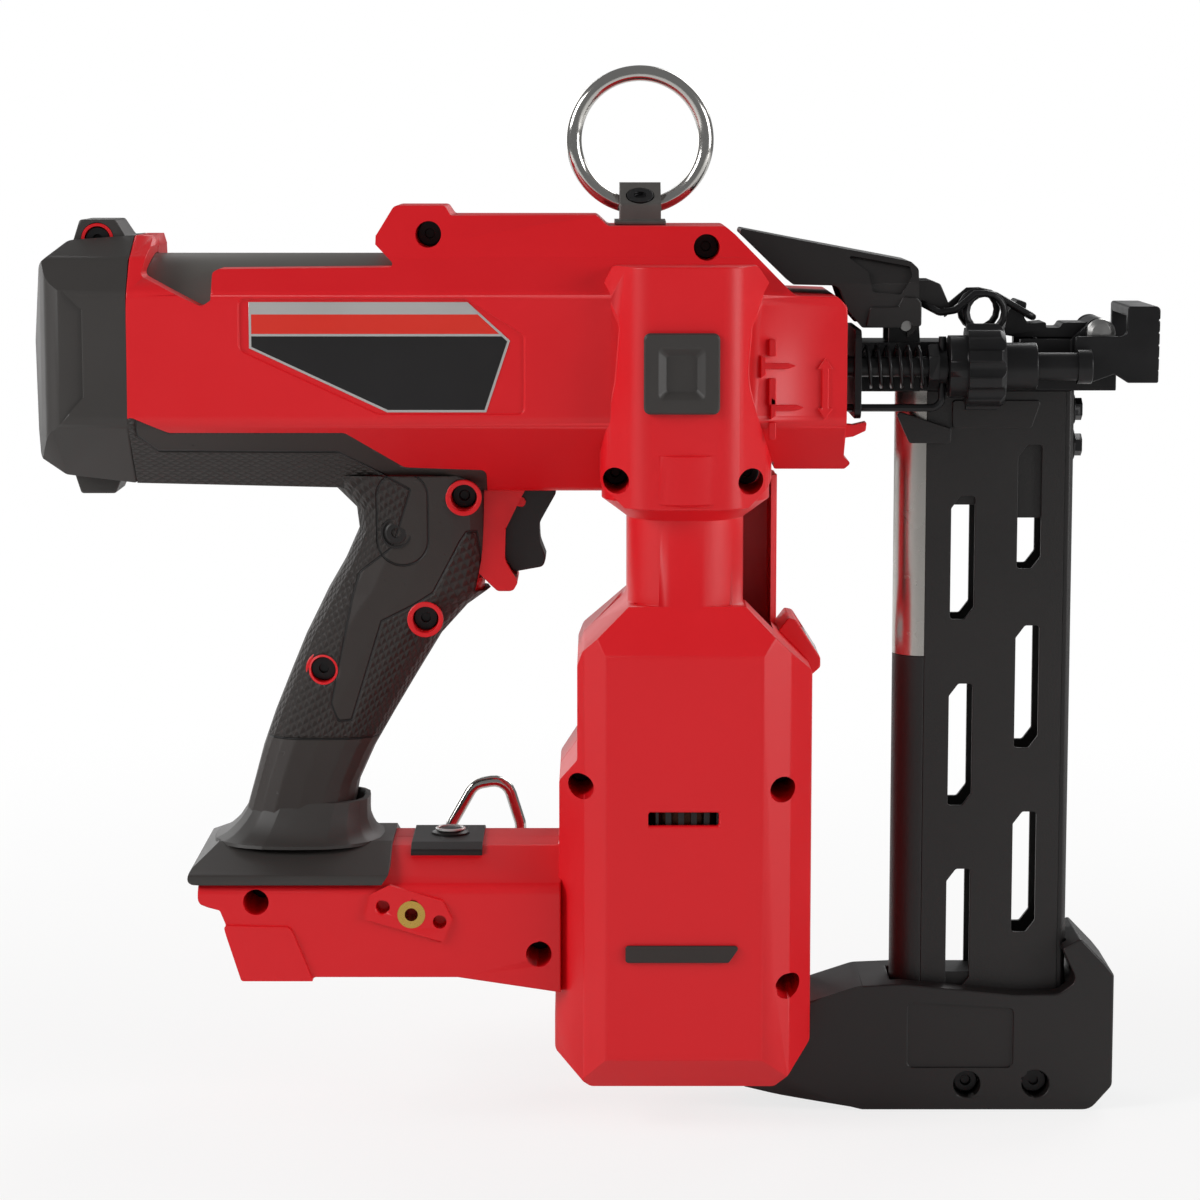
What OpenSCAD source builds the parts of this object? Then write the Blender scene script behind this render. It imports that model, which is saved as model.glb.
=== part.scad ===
// Cordless fencing stapler, without its battery. Millimetres, nose along +X,
// +Z up, origin on the ground below the middle of the tool.

/* [Drive line] */
// Height of the drive axis above the ground
drive_z = 243; // [238:0.5:292]
// Distance of the vertical motor axis ahead of the origin
motor_x = 27; // [26:0.25:30]
// Distance of the motor axis to the right of the middle plane
motor_y = 25; // [24.5:0.25:26]
// Radius of the circle that the lifter rollers run on
lifter_r = 16; // [14:0.25:16.5]
// Width of the driver blade
blade_w = 12.7; // [10:0.1:12.8]
// Thickness of the driver blade
blade_t = 3.8; // [3:0.1:4.6]

/* [Barrel] */
// Outside radius of the air sleeve
sleeve_r = 35; // [32:0.25:37.5]
// Place of the joint between the housing and the rear cap
cap_x = -147.5; // [-150:0.5:-144]
// Length of the rear cap over its dome
cap_len = 31.5; // [27:0.5:37]
// Bore of the drive cylinder
bore_r = 22; // [19:0.25:24]
// Wall of the moulded casings
wall = 2.6; // [2:0.1:3]

/* [Handle and foot] */
// Thickness of the handle
handle_t = 33; // [29:0.5:38]
// Thickness of the soft grip over the handle core
grip_t = 2; // [1.4:0.1:2.4]
// Height of the top of the battery foot
foot_z = 87.5; // [84:0.5:90]
// Width of the battery foot
foot_w = 74; // [66:1:88]

/* [Motor tower] */
// Distance from the middle plane to the right face of the tower
tower_face = 50; // [49:0.5:56]
// Distance from the middle plane to the left face of the tower
tower_back = 31; // [26:0.5:37]
// Radius of the neck round the gear case
neck_r = 18.4; // [17:0.2:21]

/* [Nose and work contact] */
// Distance of the contact rod to the right of the middle plane
rod_y = 24; // [23:0.25:26]
// Outside radius of the depth wheel
wheel_r = 13.6; // [11.5:0.1:14.5]
// Radius of the contact spring over its coils
spring_r = 7; // [6:0.1:8]
// Number of turns of the contact spring
spring_turns = 6; // [5:1:7]

/* [Magazine] */
// Thickness of the magazine across the tool
mag_t = 19; // [17:0.5:22]
// Distance from the crown guide to the front edge of the magazine
mag_len = 57; // [52:0.5:58]
// Width of the magazine base
base_w = 34; // [29:0.5:40]

/* [Ring and hook] */
// Radius of the carrying ring to the middle of its wire
ring_r = 21.2; // [18:0.1:25.5]
// Radius of the wire of the carrying ring
ring_wire = 2.5; // [2.1:0.1:3]
// Radius of the wire of the hook
hook_wire = 2; // [1.7:0.1:2.4]

/* [Hidden] */
$fn = 48;
far = 400;
gap = 0.3;
run = 0.05;
red = "#d3122a";
dark = "#4b4a4c";
black = "#222124";
steel = "#b9bcc0";

// Unit vector along v
function unit(v) = v / norm(v);

// Corner b between a and c, rounded to radius r as points along an arc
function fillet(a, b, c, r, n = 5) =
  let (u = unit(a - b), v = unit(c - b))
  let (half = acos(max(-1, min(1, u * v))) / 2)
  r < 0.01 || half > 88 ? [b] :
  let (d = min(r / tan(half), 0.49 * min(norm(a - b), norm(c - b))))
  let (m = b + unit(u + v) * d / cos(half), s = b + u * d - m, e = b + v * d - m)
  let (turn = 180 - 2 * half)
  [for (k = [0:n]) m + (s * sin(turn * (1 - k / n)) + e * sin(turn * k / n)) / sin(turn)];

function flat(q) = [q[0], q[1]];
function at(q, i) = q[(i + len(q)) % len(q)];

// Closed outline from corners [x, y, radius] given anticlockwise
function rounded(q, n = 4) = [for (i = [0:len(q) - 1])
  each fillet(flat(at(q, i - 1)), flat(q[i]), flat(at(q, i + 1)), q[i][2], n)];

// The same outline moved inwards by w
function inset(q, w) = [for (i = [0:len(q) - 1])
  let (d = unit(flat(q[i]) - flat(at(q, i - 1))), f = unit(flat(at(q, i + 1)) - flat(q[i])))
  let (m = [-d[1], d[0]], n = [-f[1], f[0]], bend = d[0] * f[1] - d[1] * f[0])
  let (p = flat(q[i]) + w * (m + n) / (1 + m * n))
  [p[0], p[1], max(0, q[i][2] - sign(bend) * w)]];

// Outline mirrored across x = 0 and closed, from its right half given upwards
function both_sides(q) = concat(q,
  [for (i = [len(q) - 1:-1:0]) [-q[i][0], q[i][1], q[i][2]]]);

// Every corner of an outline raised by z
function raised(q, z) = [for (p = q) [p[0], p[1] + z, p[2]]];

// Side outline (x, z) carried across the tool from y0 to y1
module side(q, y0 = -far, y1 = far) {
  rotate([90, 0, 0])
    translate([0, 0, -y1])
      linear_extrude(y1 - y0)
        polygon(rounded(q));
}

// Section (y, z) carried along the tool from x0 to x1
module along(q, x0 = -far, x1 = far) {
  rotate([90, 0, 90])
    translate([0, 0, x0])
      linear_extrude(x1 - x0)
        polygon(rounded(q));
}

// Plan (x, y) carried up from z0 to z1
module up(q, z0 = -far, z1 = far) {
  translate([0, 0, z0])
    linear_extrude(z1 - z0)
      polygon(rounded(q));
}

// Box between two corners
module box(a, b) {
  translate(a)
    cube(b - a);
}

// Round bars along X, Y and Z, from their start point
module rod_x(p, r, len) {
  translate(p)
    rotate([0, 90, 0])
      cylinder(r = r, h = len);
}
module rod_y(p, r, len) {
  translate(p)
    rotate([-90, 0, 0])
      cylinder(r = r, h = len);
}
module rod_z(p, r, len) {
  translate(p)
    cylinder(r = r, h = len);
}

// Bodies of revolution about an axis along X through p, from (x, r) corners
module turned_x(p, q) {
  translate(p)
    rotate([0, 90, 0])
      rotate_extrude()
        polygon([for (c = q) [c[1], c[0]]]);
}

// Path through corners p with its bends rounded to radius r
function bent(p, r, n = 5) = concat([p[0]],
  [for (i = [1:len(p) - 2]) each fillet(p[i - 1], p[i], p[i + 1], r, n)],
  [p[len(p) - 1]]);

// Direction of a path at each point, and a normal carried along without twist
function heading(p, i) = unit(p[min(i + 1, len(p) - 1)] - p[max(i - 1, 0)]);
function carried(p, n, i = 0) = i == len(p) ? [] :
  let (t = heading(p, i), m = unit(n - (n * t) * t))
  concat([m], carried(p, m, i + 1));

// Round wire of radius r along the path p, n a direction across its start
module wire(p, r, n = [0, 0, 1], sides = 10) {
  normals = carried(p, n);
  points = [for (i = [0:len(p) - 1], k = [0:sides - 1])
    let (a = 360 * k / sides, t = heading(p, i))
    p[i] + r * (normals[i] * cos(a) + cross(t, normals[i]) * sin(a))];
  last = (len(p) - 1) * sides;
  faces = concat(
    [for (i = [0:len(p) - 2], k = [0:sides - 1])
      let (a = i * sides + k, b = i * sides + (k + 1) % sides)
      each [[a, a + sides, b], [b, a + sides, b + sides]]],
    [[for (k = [0:sides - 1]) k]],
    [[for (k = [sides - 1:-1:0]) last + k]]);
  polyhedron(points, faces);
}

// Closed skin over level rings of equal point count
module skin(rings) {
  n = len(rings[0]);
  points = [for (q = rings) each q];
  last = (len(rings) - 1) * n;
  faces = concat(
    [for (i = [0:len(rings) - 2], k = [0:n - 1])
      let (a = i * n + k, b = i * n + (k + 1) % n)
      each [[a, a + n, b], [b, a + n, b + n]]],
    [[for (k = [0:n - 1]) k]],
    [[for (k = [n - 1:-1:0]) last + k]]);
  polyhedron(points, faces);
}

// Casing outlines. Heights of upper outlines count from the drive axis.
body_half = sleeve_r + 3.5;
body_low = -sleeve_r - 5.5;
tower_l = motor_x - 41.5;
tower_r = motor_x + 40.5;
tower_low = 14.5;
shoulder_z = drive_z - 88;

barrel_side = [[cap_x, body_low + 3, 0], [-30, body_low, 0], [20, body_low, 0],
  [24, body_low + 8, 0], [77.5, body_low + 8, 1], [79.5, body_low + 10, 1],
  [77, body_low + 12, 0.5], [77, 19.5, 2.5], [74, 22.5, 1.5], [60.5, 23, 3],
  [42.5, 41.5, 3], [39.5, 44, 2], [2.5, 44, 2], [-1, 47.3, 2], [-47, 47.3, 1],
  [-49, 50.4, 1.5], [-65, 50.4, 2], [-70.5, sleeve_r + 6, 1], [cap_x, sleeve_r + 6, 0]];
rear_section = both_sides([[14, body_low, 6], [body_half, -17, 6], [body_half, 23.5, 4],
  [28.5, 34.5, 6], [14, sleeve_r + 6, 3]]);
front_section = both_sides([[14, body_low, 6], [body_half, -17, 6], [body_half, 23.5, 4],
  [28.5, 34.5, 8], [13, 56, 0]]);
// Shallow recess for the name plate, on both sides
panel_side = [[-112.5, 22, 2], [-41.4, 22, 2], [-23.5, 10.5, 2], [-23.5, -14, 2],
  [-69, -14, 3], [-112.5, 6, 3]];
panel_depth = 0.8;
window_side = [[cap_x + 6, 60, 0], [cap_x + 6, 37.5, 2], [cap_x + 4, 29, 2],
  [-124, 19.5, 2], [-121, 21.5, 1], [-121, 30, 1.5], [-119, 31, 1],
  [-63.5, 31.5, 1], [-70.6, 38.5, 1], [-70.6, 60, 0]];
saddle_side = [[cap_x - 1, -60, 0], [-36, -60, 0], [-36, -33, 2], [-62, -32, 4],
  [-80, -20, 3], [-135, -20, 4], [cap_x - 1, -14, 2]];

// Whole barrel form, with w its distance inside the outer surface
module barrel_form(w = 0) {
  past = w > 0 ? 20 : 0;
  q = [for (c = barrel_side) c[0] == cap_x ?
    [cap_x - past, c[1] < 0 ? c[1] + past * 3 / (-30 - cap_x) : c[1], 0] : c];
  translate([0, 0, drive_z])
    intersection() {
      side(inset(q, w));
      union() {
        along(inset(rear_section, w), -far, -70.5);
        along(inset(front_section, w), -70.5, far);
      }
    }
}

// Bulge over the lifter, with its waisted flat face
module lifter_form(w = 0) {
  bulge_r = tower_face - motor_y + 2;
  face = [[8, 200, 0], [46, 200, 0], [54, 207, 6], [54, 214, 6], [45.5, drive_z - 4, 30],
    [47, drive_z + 14, 6], [54, drive_z + 25, 2], [49, drive_z + 32.3, 2],
    [4, drive_z + 32.3, 2], [0.3, drive_z + 25, 2], [6.5, drive_z + 14, 6],
    [5, drive_z - 4, 30], [-0.5, 214, 6], [-0.5, 207, 6]];
  plan = [[motor_x - bulge_r, -20, 0], [motor_x - bulge_r, -motor_y - 9, 12],
    [motor_x - 15, -tower_face, 9], [motor_x + 15, -tower_face, 9],
    [motor_x + bulge_r, -motor_y - 9, 12], [motor_x + bulge_r, -20, 0]];
  intersection() {
    side(inset(face, w));
    up(inset(plan, w));
  }
  // Round skirt that narrows to the neck
  translate([motor_x, -motor_y, 0])
    rotate_extrude()
      polygon([[0, 196 + w], [neck_r - w, 196 + w], [bulge_r - 0.5 - w, 202 + w],
        [bulge_r - 0.5 - w, 217 - w], [0, 217 - w]]);
}

// Neck round the gear case, and the web beside it
module neck_form(w = 0) {
  translate([motor_x, -motor_y, shoulder_z + w])
    cylinder(r = neck_r - w, h = drive_z - 36 - shoulder_z);
  up([[motor_x - neck_r + w, -motor_y, 0], [motor_x + 30 - w, -6 + w, 1],
    [motor_x + 30 - w, 14 - w, 3], [motor_x - neck_r + w, 14 - w, 3]],
    shoulder_z + 2, drive_z - 36);
}

// Motor tower from the side, from the front and in plan
tower_side = [[-3, tower_low, 3], [tower_r - 12, tower_low, 3], [tower_r, 27, 3],
  [tower_r, shoulder_z - 8, 4], [motor_x + 19, shoulder_z + 14, 0],
  [motor_x - 18, shoulder_z + 14, 0], [-5.5, shoulder_z, 4], [-7.2, shoulder_z - 5, 2],
  [-7.2, 120, 2], [-13, 112, 3], [-13, 90, 0], [tower_l, 35, 1], [tower_l, 24, 3]];
tower_front = [[-tower_face, 25.5, 2], [-tower_face + 9, tower_low, 0],
  [tower_back - 8, tower_low, 0], [tower_back, 25, 2], [tower_back, shoulder_z - 6, 5],
  [14, shoulder_z + 14, 0], [-motor_y - neck_r + 1, shoulder_z + 15, 0],
  [-tower_face, shoulder_z - 1, 3]];
tower_plan = [[tower_l, -30, 4], [motor_x - 32, -tower_face + 6, 2],
  [motor_x - 25, -tower_face, 2], [motor_x + 24, -tower_face, 2],
  [motor_x + 33, -tower_face + 6, 2], [tower_r, -30, 4], [tower_r, tower_back - 8, 4],
  [tower_r - 8, tower_back, 4], [tower_l + 8, tower_back, 4], [tower_l, tower_back - 8, 4]];

module tower_form(w = 0) {
  intersection() {
    side(inset(tower_side, w));
    along(inset(tower_front, w));
    up(inset(tower_plan, w));
  }
}

// Battery foot with its sloped shoulders
foot_side = [[-114.3, 48, 1], [-92.5, 48, 0], [-91, 49, 0], [-45.5, 49, 0],
  [tower_l + 2, 44, 0], [tower_l + 2, foot_z + 2, 0], [-24.5, foot_z, 2],
  [-68.3, foot_z, 0], [-127.8, foot_z - 5, 0], [-128, 72.5, 3], [-121, 70.8, 1],
  [-119.3, 66.6, 1]];
foot_front = both_sides([[foot_w / 2, 40, 0], [foot_w / 2, foot_z - 9, 4], [14, foot_z, 3]]);
foot_bulge = [[-120, 66, 1], [-114.3, 48, 1], [-91.5, 48, 0], [-98.5, 65.5, 2]];

module foot_form() {
  intersection() {
    side(foot_side);
    along(foot_front);
  }
  side(foot_bulge, -foot_w / 2 - 1, foot_w / 2 + 1);
  // Raised flats round the insert for the hook, one on each side
  for (s = [-1, 1])
    side(insert_flat, s * foot_w / 2 - 1.2, s * foot_w / 2 + 1.2);
}

button_x = -49;

// Threaded insert of the hook with a pin hole on either side of it
insert_x = -60;
insert_z = foot_z - 17.8;
insert_r = 4.4;
insert_len = 8.5;
thread_r = 2.1;
pin_r = 2.2;
pin_far = 9;
insert_flat = [[insert_x - 15, insert_z - 1.5, 1], [insert_x + 10, insert_z - 9, 1],
  [insert_x + 13, insert_z - 1.5, 1], [insert_x + 10, insert_z + 4.5, 1],
  [insert_x - 7, insert_z + 9.5, 1], [insert_x - 13, insert_z + 6.5, 1]];
foot_y = foot_w / 2 + 1.2;

module insert_bores() {
  for (s = [-1, 1]) {
    rod_y([insert_x, s * (foot_y - insert_len / 2 + 0.5) - insert_len / 2 - 0.5, insert_z],
      insert_r + run, insert_len + 1);
    for (d = [-1, 1])
      rod_y([insert_x + d * pin_far, s * foot_y - 6, insert_z - d * 2.4], pin_r, 12);
  }
}

// Handle levels: share of the way up from the foot to the barrel, back x,
// front x and how much thicker the section is than the slimmest part
handle_low = foot_z - 2.5;
handle_top = drive_z - 35;
handle_levels = [[0, -119.5, -76.4, 1.5], [0.09, -115.8, -80.6, 0.8],
  [0.18, -112.7, -78.3, 0.4], [0.27, -109.7, -73.3, 0], [0.365, -105.6, -66.6, 0],
  [0.47, -100.4, -58.9, 0], [0.57, -95.3, -51.4, 0.3], [0.65, -90.4, -42.5, 0.8],
  [0.69, -88, -35.5, 1], [0.77, -82.3, -34.5, 1.6], [0.85, -77.9, -34.5, 2.5],
  [0.91, -78.8, -34.5, 3.5], [0.96, -85, -34.5, 5], [1, -92, -34.5, 6]];

// Level ring with flattened sides, w inside the outer surface
function handle_ring(q, w, n = 20) =
  let (m = (q[1] + q[2]) / 2, a = (q[2] - q[1]) / 2 - w)
  let (b = handle_t / 2 + q[3] - w, z = handle_low + q[0] * (handle_top - handle_low))
  [for (k = [0:n - 1])
    let (c = cos(360 * k / n), s = sin(360 * k / n))
    [m + a * sign(c) * pow(abs(c), 0.72), b * sign(s) * pow(abs(s), 0.72), z]];

module handle_form(w = 0) {
  skin([for (q = handle_levels) handle_ring(q, w)]);
}

// Ear of the casing in the lug of the rear cap
ear_x = cap_x - 12;
ear_z = drive_z + sleeve_r + 4.7;
ear_r = 5.1;
ear_y = 12.4;

// Screw places [x, z, distance of the right surface, boss radius]
casing_screws = [[-54, drive_z + 41.5, 30, 6], [33.5, drive_z + 37.5, 30, 5.5],
  [5, 208.5, 45, 5.5], [47, 208.5, 45, 5.5], [-6, 112, 45, 5.5], [57.5, 111.5, 46, 5.5],
  [59.5, 48, 46, 5.5], [-19.5, 56.5, 38, 5.5], [-109.5, 73.4, 40, 5.5],
  [-43.4, drive_z - 42, 30, 4.8], [-65, drive_z - 54.5, 22, 0],
  [-56, drive_z - 81.5, 22, 4.8], [-89, drive_z - 98, 22, 4.8], [ear_x, ear_z, ear_y, 0]];
head_seat = -9;
head_r = 3.8;
head_h = 3;
shank_r = 2;

// Cuts of the sleeve, the drive line and the motor through the casing
module drive_room() {
  rod_x([cap_x - 1, 0, drive_z], sleeve_r + gap, -42 - cap_x + 1, $fn = 96);
  translate([0, 0, drive_z])
    intersection() {
      along(inset(front_section, wall), -42.01, 74);
      side(inset(barrel_side, wall), -body_half, body_half);
    }
  lifter_form(wall);
  rod_z([motor_x, -motor_y, shoulder_z - 6], neck_r - wall, 60);
  box([motor_x - 8, -motor_y, shoulder_z - 6], [motor_x + 28, 10, drive_z - 30]);
  tower_form(wall);
  box([70, -12, drive_z - 9], [90, 12, drive_z + 9]);
  rod_x([70, -rod_y, drive_z], 4.2, 20);
  rod_x([60, -rod_y, drive_z - 13], 1.6, 30);
}

// Room for the trigger and its switch in the handle top
module switch_room() {
  box([-66, -8.5, drive_z - 69], [-13, 8.5, drive_z - 37]);
  box([-80, -6, drive_z - 85], [-60, 6, drive_z - 50]);
}

// Rails that hold the battery, cut in under the foot
module battery_room() {
  box([-140, -foot_w / 2 + 9, 40], [-24, foot_w / 2 - 9, 62]);
  box([-140, -foot_w / 2 + 5, 54], [-24, foot_w / 2 - 5, 62]);
  box([-102, -foot_w / 2 + 10, 65], [-27, foot_w / 2 - 10, foot_z - 8]);
  box([-28, -9, 66], [-10, 9, 79]);
}

// Hollow of the handle, open into the foot
module wire_room() {
  difference() {
    handle_form(grip_t + wall);
    box([-far, -far, drive_z - 40], [far, far, far]);
  }
}

// Walls across the tower that hold the motor, and the seat of the top bearing
module motor_walls() {
  intersection() {
    tower_form();
    for (z = [motor_low + 12, motor_high - 15, 44])
      box([-far, -far, z], [far, 4, z + 3]);
  }
  rod_z([motor_x, -motor_y, 44], 11.5, 11);
  rod_z([motor_x, -motor_y, drive_z + 8.5], shaft_r + 8.5, 22);
}

module motor_cuts($fn = 48) {
  rod_z([motor_x, -motor_y, 40], 4, 20);
  rod_z([motor_x, -motor_y, 48], 9 + run, 10);
  rod_z([motor_x, -motor_y, motor_low - 12], motor_r + run, motor_high - motor_low + 20);
  rod_z([motor_x, -motor_y, drive_z], shaft_r + 6 + run, 10 + bearing_t);
  rod_z([motor_x, -motor_y, drive_z], shaft_r + 1, 19);
}

module air_slots() {
  box([15.1, -tower_face - 1, 100.6], [37.3, -tower_face + 12, 104.9]);
  for (k = [0:4])
    box([8, tower_back - 6, 46 + 9 * k], [46, tower_back + 2, 50 + 9 * k]);
}

// Whole casing before it is split on the middle plane
module casing() {
  difference() {
    union() {
      barrel_form();
      lifter_form();
      neck_form();
      tower_form();
      foot_form();
      handle_form(grip_t);
      rim_form();
      ears();
    }
    difference() {
      drive_room();
      motor_walls();
    }
    motor_cuts();
    switch_room();
    wire_room();
    battery_room();
    air_slots();
    rod_z([button_x, 0, foot_z - 1.4], 6.2, 9);
    translate([0, 0, drive_z]) {
      side(window_side);
      for (s = [-1, 1])
        side(panel_side, s * (body_half + 5) - 5 - panel_depth, s * (body_half + 5) + 5
          + panel_depth);
    }
    // Seat of the dark skin under the barrel
    difference() {
      translate([0, 0, drive_z])
        side(raised(saddle_side, 0), -far, far);
      barrel_form(skin_t);
      handle_form(grip_t);
      rim_form();
      box([-far, -far, 0], [far, far, drive_z + body_low - 3]);
    }
  }
}

// Red rim that the trigger stands in, curled forward below it
rim_side = [[-33, -73, 2], [-28, -73, 2], [-26.3, -70, 1.5], [-30.6, -63, 6],
  [-30.3, -53, 4], [-25.5, -43, 2], [-22, -37, 0], [-40, -37, 0], [-40, -66, 0]];
module rim_form() {
  translate([0, 0, drive_z])
    side(rim_side, -12.5, 12.5);
}

// Dark skin round the lower side of the barrel
skin_t = 1.3;

module ears() {
  rod_y([ear_x, -ear_y, ear_z], ear_r, 2 * ear_y - 0.4);
  box([ear_x, -ear_y + 3, ear_z - 2.6], [cap_x + 2, ear_y - 3, ear_z - 1]);
}

// Bosses over the whole width, cut to the casing's own outline
module bosses() {
  intersection() {
    union() {
      barrel_form();
      lifter_form();
      tower_form();
      foot_form();
      handle_form(grip_t);
      // The right half's bosses reach the surface of the grip
      difference() {
        handle_form();
        box([-far, 0, 0], [far, far, far]);
      }
    }
    for (q = casing_screws)
      rod_y([q[0], -q[2] - 8, q[1]], q[3], q[2] + 70);
  }
}

module right_housing() {
  $fn = 24;
  color(red)
    difference() {
      union() {
        casing();
        bosses();
        rod_y([trigger_pin[0], -9, trigger_pin[2]], pivot_r, 18);
        // Small moulded hook below the guide of the contact rod
        translate([0, 0, drive_z])
          side([[75, -22, 0], [79.4, -21.4, 0.5], [83.4, -19.5, 0.4], [83.6, -16.8, 0.3],
            [79.4, -17.8, 0.5], [75, -17.4, 0]], -33, -27);
      }
      box([-far, 0, 0], [far, far, far]);
      for (q = casing_screws) {
        rod_y([q[0], -q[2] - 20, q[1]], head_r + 0.3, q[2] + 20 + head_seat);
        rod_y([q[0], head_seat - 1, q[1]], shank_r + run, 20);
      }
      insert_bores();
    }
}

module left_housing() {
  $fn = 24;
  color(red)
    difference() {
      union() {
        casing();
        bosses();
        rod_y([trigger_pin[0], -9, trigger_pin[2]], pivot_r, 18);
      }
      box([-far, -far, 0], [far, 0, far]);
      for (q = casing_screws)
        rod_y([q[0], -1, q[1]], shank_r + run, 11.5);
      insert_bores();
    }
}

// Soft skin of the handle, between its core and the handle's own outline
module grip() {
  difference() {
    handle_form();
    handle_form(grip_t - run);
    barrel_form();
    foot_form();
    rim_form();
    box([-far, -far, 0], [far, far, foot_z + 1.5]);
    // Opening of the handle's front for the trigger
    box([-52, -12.6, drive_z - 73], [0, 12.6, drive_z]);
    for (q = casing_screws)
      rod_y([q[0], -60, q[1]], q[3] + run, 60);
  }
}

module right_grip() {
  color(dark)
    difference() {
      grip();
      box([-far, 0, 0], [far, far, far]);
    }
}

module left_grip() {
  color(dark)
    difference() {
      grip();
      box([-far, -far, 0], [far, 0, far]);
    }
}

// Flange at the foot of the handle
boot_side = [[-131, foot_z - 8.3, 2], [-69.5, foot_z - 8.3, 0], [-67.2, foot_z - 5, 2],
  [-67.2, foot_z + 1.5, 0], [-123, foot_z + 1.5, 2], [-131, foot_z - 4.5, 3]];
boot_front = both_sides([[foot_w / 2 + 1.3, foot_z - 8.3, 0],
  [foot_w / 2 + 1.3, foot_z - 5.5, 2], [15, foot_z + 1.5, 3]]);
module grip_boot() {
  color(dark)
    difference() {
      intersection() {
        side(boot_side);
        along(boot_front);
      }
      foot_form();
      handle_form(grip_t);
      box([-120, -12, 60], [-76, 12, 100]);
    }
}

module barrel_saddle() {
  color(dark)
    difference() {
      intersection() {
        barrel_form();
        translate([0, 0, drive_z])
          side(inset(saddle_side, run));
      }
      barrel_form(skin_t - run);
      handle_form(grip_t - run);
      rim_form();
      box([-far, -far, 0], [cap_x + run, far, far]);
      for (q = casing_screws)
        rod_y([q[0], -60, q[1]], q[3] + run, 80);
    }
}

// Domed rear cap with a lug above and a tab below
cap_wall = 2;
cap_back = cap_x - cap_len;
cap_side = [[cap_back + 2, -28, 3], [cap_back + 9.5, -34.5, 3], [cap_x, body_low + 3, 0],
  [cap_x, sleeve_r + 6, 0], [cap_back + 11, sleeve_r + 4.5, 3], [cap_back + 2.7, 32, 4],
  [cap_back, 8, 12], [cap_back + 1, -20, 8]];
cap_plan = [[cap_back - 1, 14, 8], [cap_back - 1, -14, 8], [cap_back + 6, -35, 8],
  [cap_back + 12, -body_half, 6], [cap_x + 9, -body_half, 0],
  [cap_x + 9, body_half, 0], [cap_back + 12, body_half, 6], [cap_back + 6, 35, 8]];
cap_lug = [[ear_x - 7.5, 34, 0], [ear_x + 9.5, 34, 0], [ear_x + 9.5, 40, 1],
  [ear_x + 5.8, 45.9, 1.2], [ear_x - 5.6, 45.9, 1.2], [ear_x - 7.8, 39, 1]];
cap_tab = [[ear_x - 6.8, -41.5, 1], [ear_x + 4.2, -41.5, 1], [ear_x + 7, -35, 0],
  [ear_x - 9.5, -33, 0]];
grip_recess = [[-170, 28, 0], [-170, -20, 0], [-160.5, -9, 1], [-160.5, 19, 1]];

module cap_form(w = 0) {
  intersection() {
    translate([0, 0, drive_z])
      side(inset(cap_side, w));
    up(inset(cap_plan, w));
    translate([0, 0, drive_z])
      along(inset(rear_section, w));
  }
}

module rear_cap() {
  color(dark)
    difference() {
      union() {
        cap_form();
        translate([0, 0, drive_z]) {
          side(cap_lug, -ear_y, ear_y);
          side(cap_tab, -11, 11);
        }
      }
      difference() {
        translate([0, 0, drive_z])
          intersection() {
            side(inset([for (q = cap_side) q[0] == cap_x ? [cap_x + 9, q[1] < 0 ? q[1] - 1.2 : q[1], 0] : q], cap_wall));
            up(inset(cap_plan, cap_wall));
            along(inset(rear_section, cap_wall));
          }
        // Tie bars left standing inside the recess on each side
        for (s = [-1, 1])
          translate([0, 0, drive_z])
            side(grip_recess, s * (body_half - 2) - 1.7, s * (body_half - 2) + 1.7);
      }
      for (s = [-1, 1])
        translate([0, 0, drive_z])
          side(inset(grip_recess, 0.8), s * (body_half + 0.2) - 1.2, s * (body_half + 0.2) + 1.2);
      rod_y([ear_x, -ear_y - 1, ear_z], ear_r + 0.15, 2 * ear_y + 2);
      box([ear_x, -ear_y + 2.8, ear_z - 3], [cap_x + 1, ear_y - 2.8, ear_z - 0.8]);
    }
}

// One screw from the right side, its head on the boss seat
module screw_y(p) {
  rod_y([p[0], head_seat - head_h, p[1]], head_r, head_h);
  rod_y([p[0], head_seat - 1, p[1]], shank_r, 19);
}

module housing_screws() {
  color(black)
    for (q = casing_screws)
      difference() {
        screw_y(q);
        rod_y([q[0], head_seat - head_h - 1, q[1]], 1.6, 2.6);
      }
}

// Drive line. Every x below is at rest, with the driver forward.
head_x = -44;
bumper_len = 10;
piston_x = head_x - 6 - bumper_len - 0.4;
piston_len = 11;
stroke = lifter_r * PI * 1.5;
axis = [0, 0, drive_z];
tooth_far = motor_y - lifter_r + 2.6;

module air_sleeve() {
  color("#8d9294")
    turned_x(axis, [[cap_back + 6, 0], [cap_back + 6, 26], [cap_back + 12, sleeve_r - 4],
      [cap_x - 4, sleeve_r - 4], [cap_x - 1, sleeve_r], [head_x, sleeve_r],
      [head_x, sleeve_r - 2], [cap_x + 3, sleeve_r - 2], [cap_x, sleeve_r - 6],
      [cap_back + 13, sleeve_r - 6], [cap_back + 8, 25], [cap_back + 8, 0]]);
}

module drive_cylinder() {
  color(steel)
    turned_x(axis, [[cap_back + 14, bore_r], [cap_back + 14, bore_r + 2],
      [head_x - 8, bore_r + 2], [head_x - 8, sleeve_r - 2 - run],
      [head_x - 1, sleeve_r - 2 - run], [head_x - 1, tooth_far], [head_x - 6, tooth_far],
      [head_x - 6, bore_r]]);
}

module bumper() {
  color(black)
    turned_x(axis, [[head_x - 6 - bumper_len, tooth_far + 1], [head_x - 6 - bumper_len, bore_r - 3],
      [head_x - 9, bore_r - 1], [head_x - 6, bore_r - 0.2], [head_x - 6, tooth_far]]);
}

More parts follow.
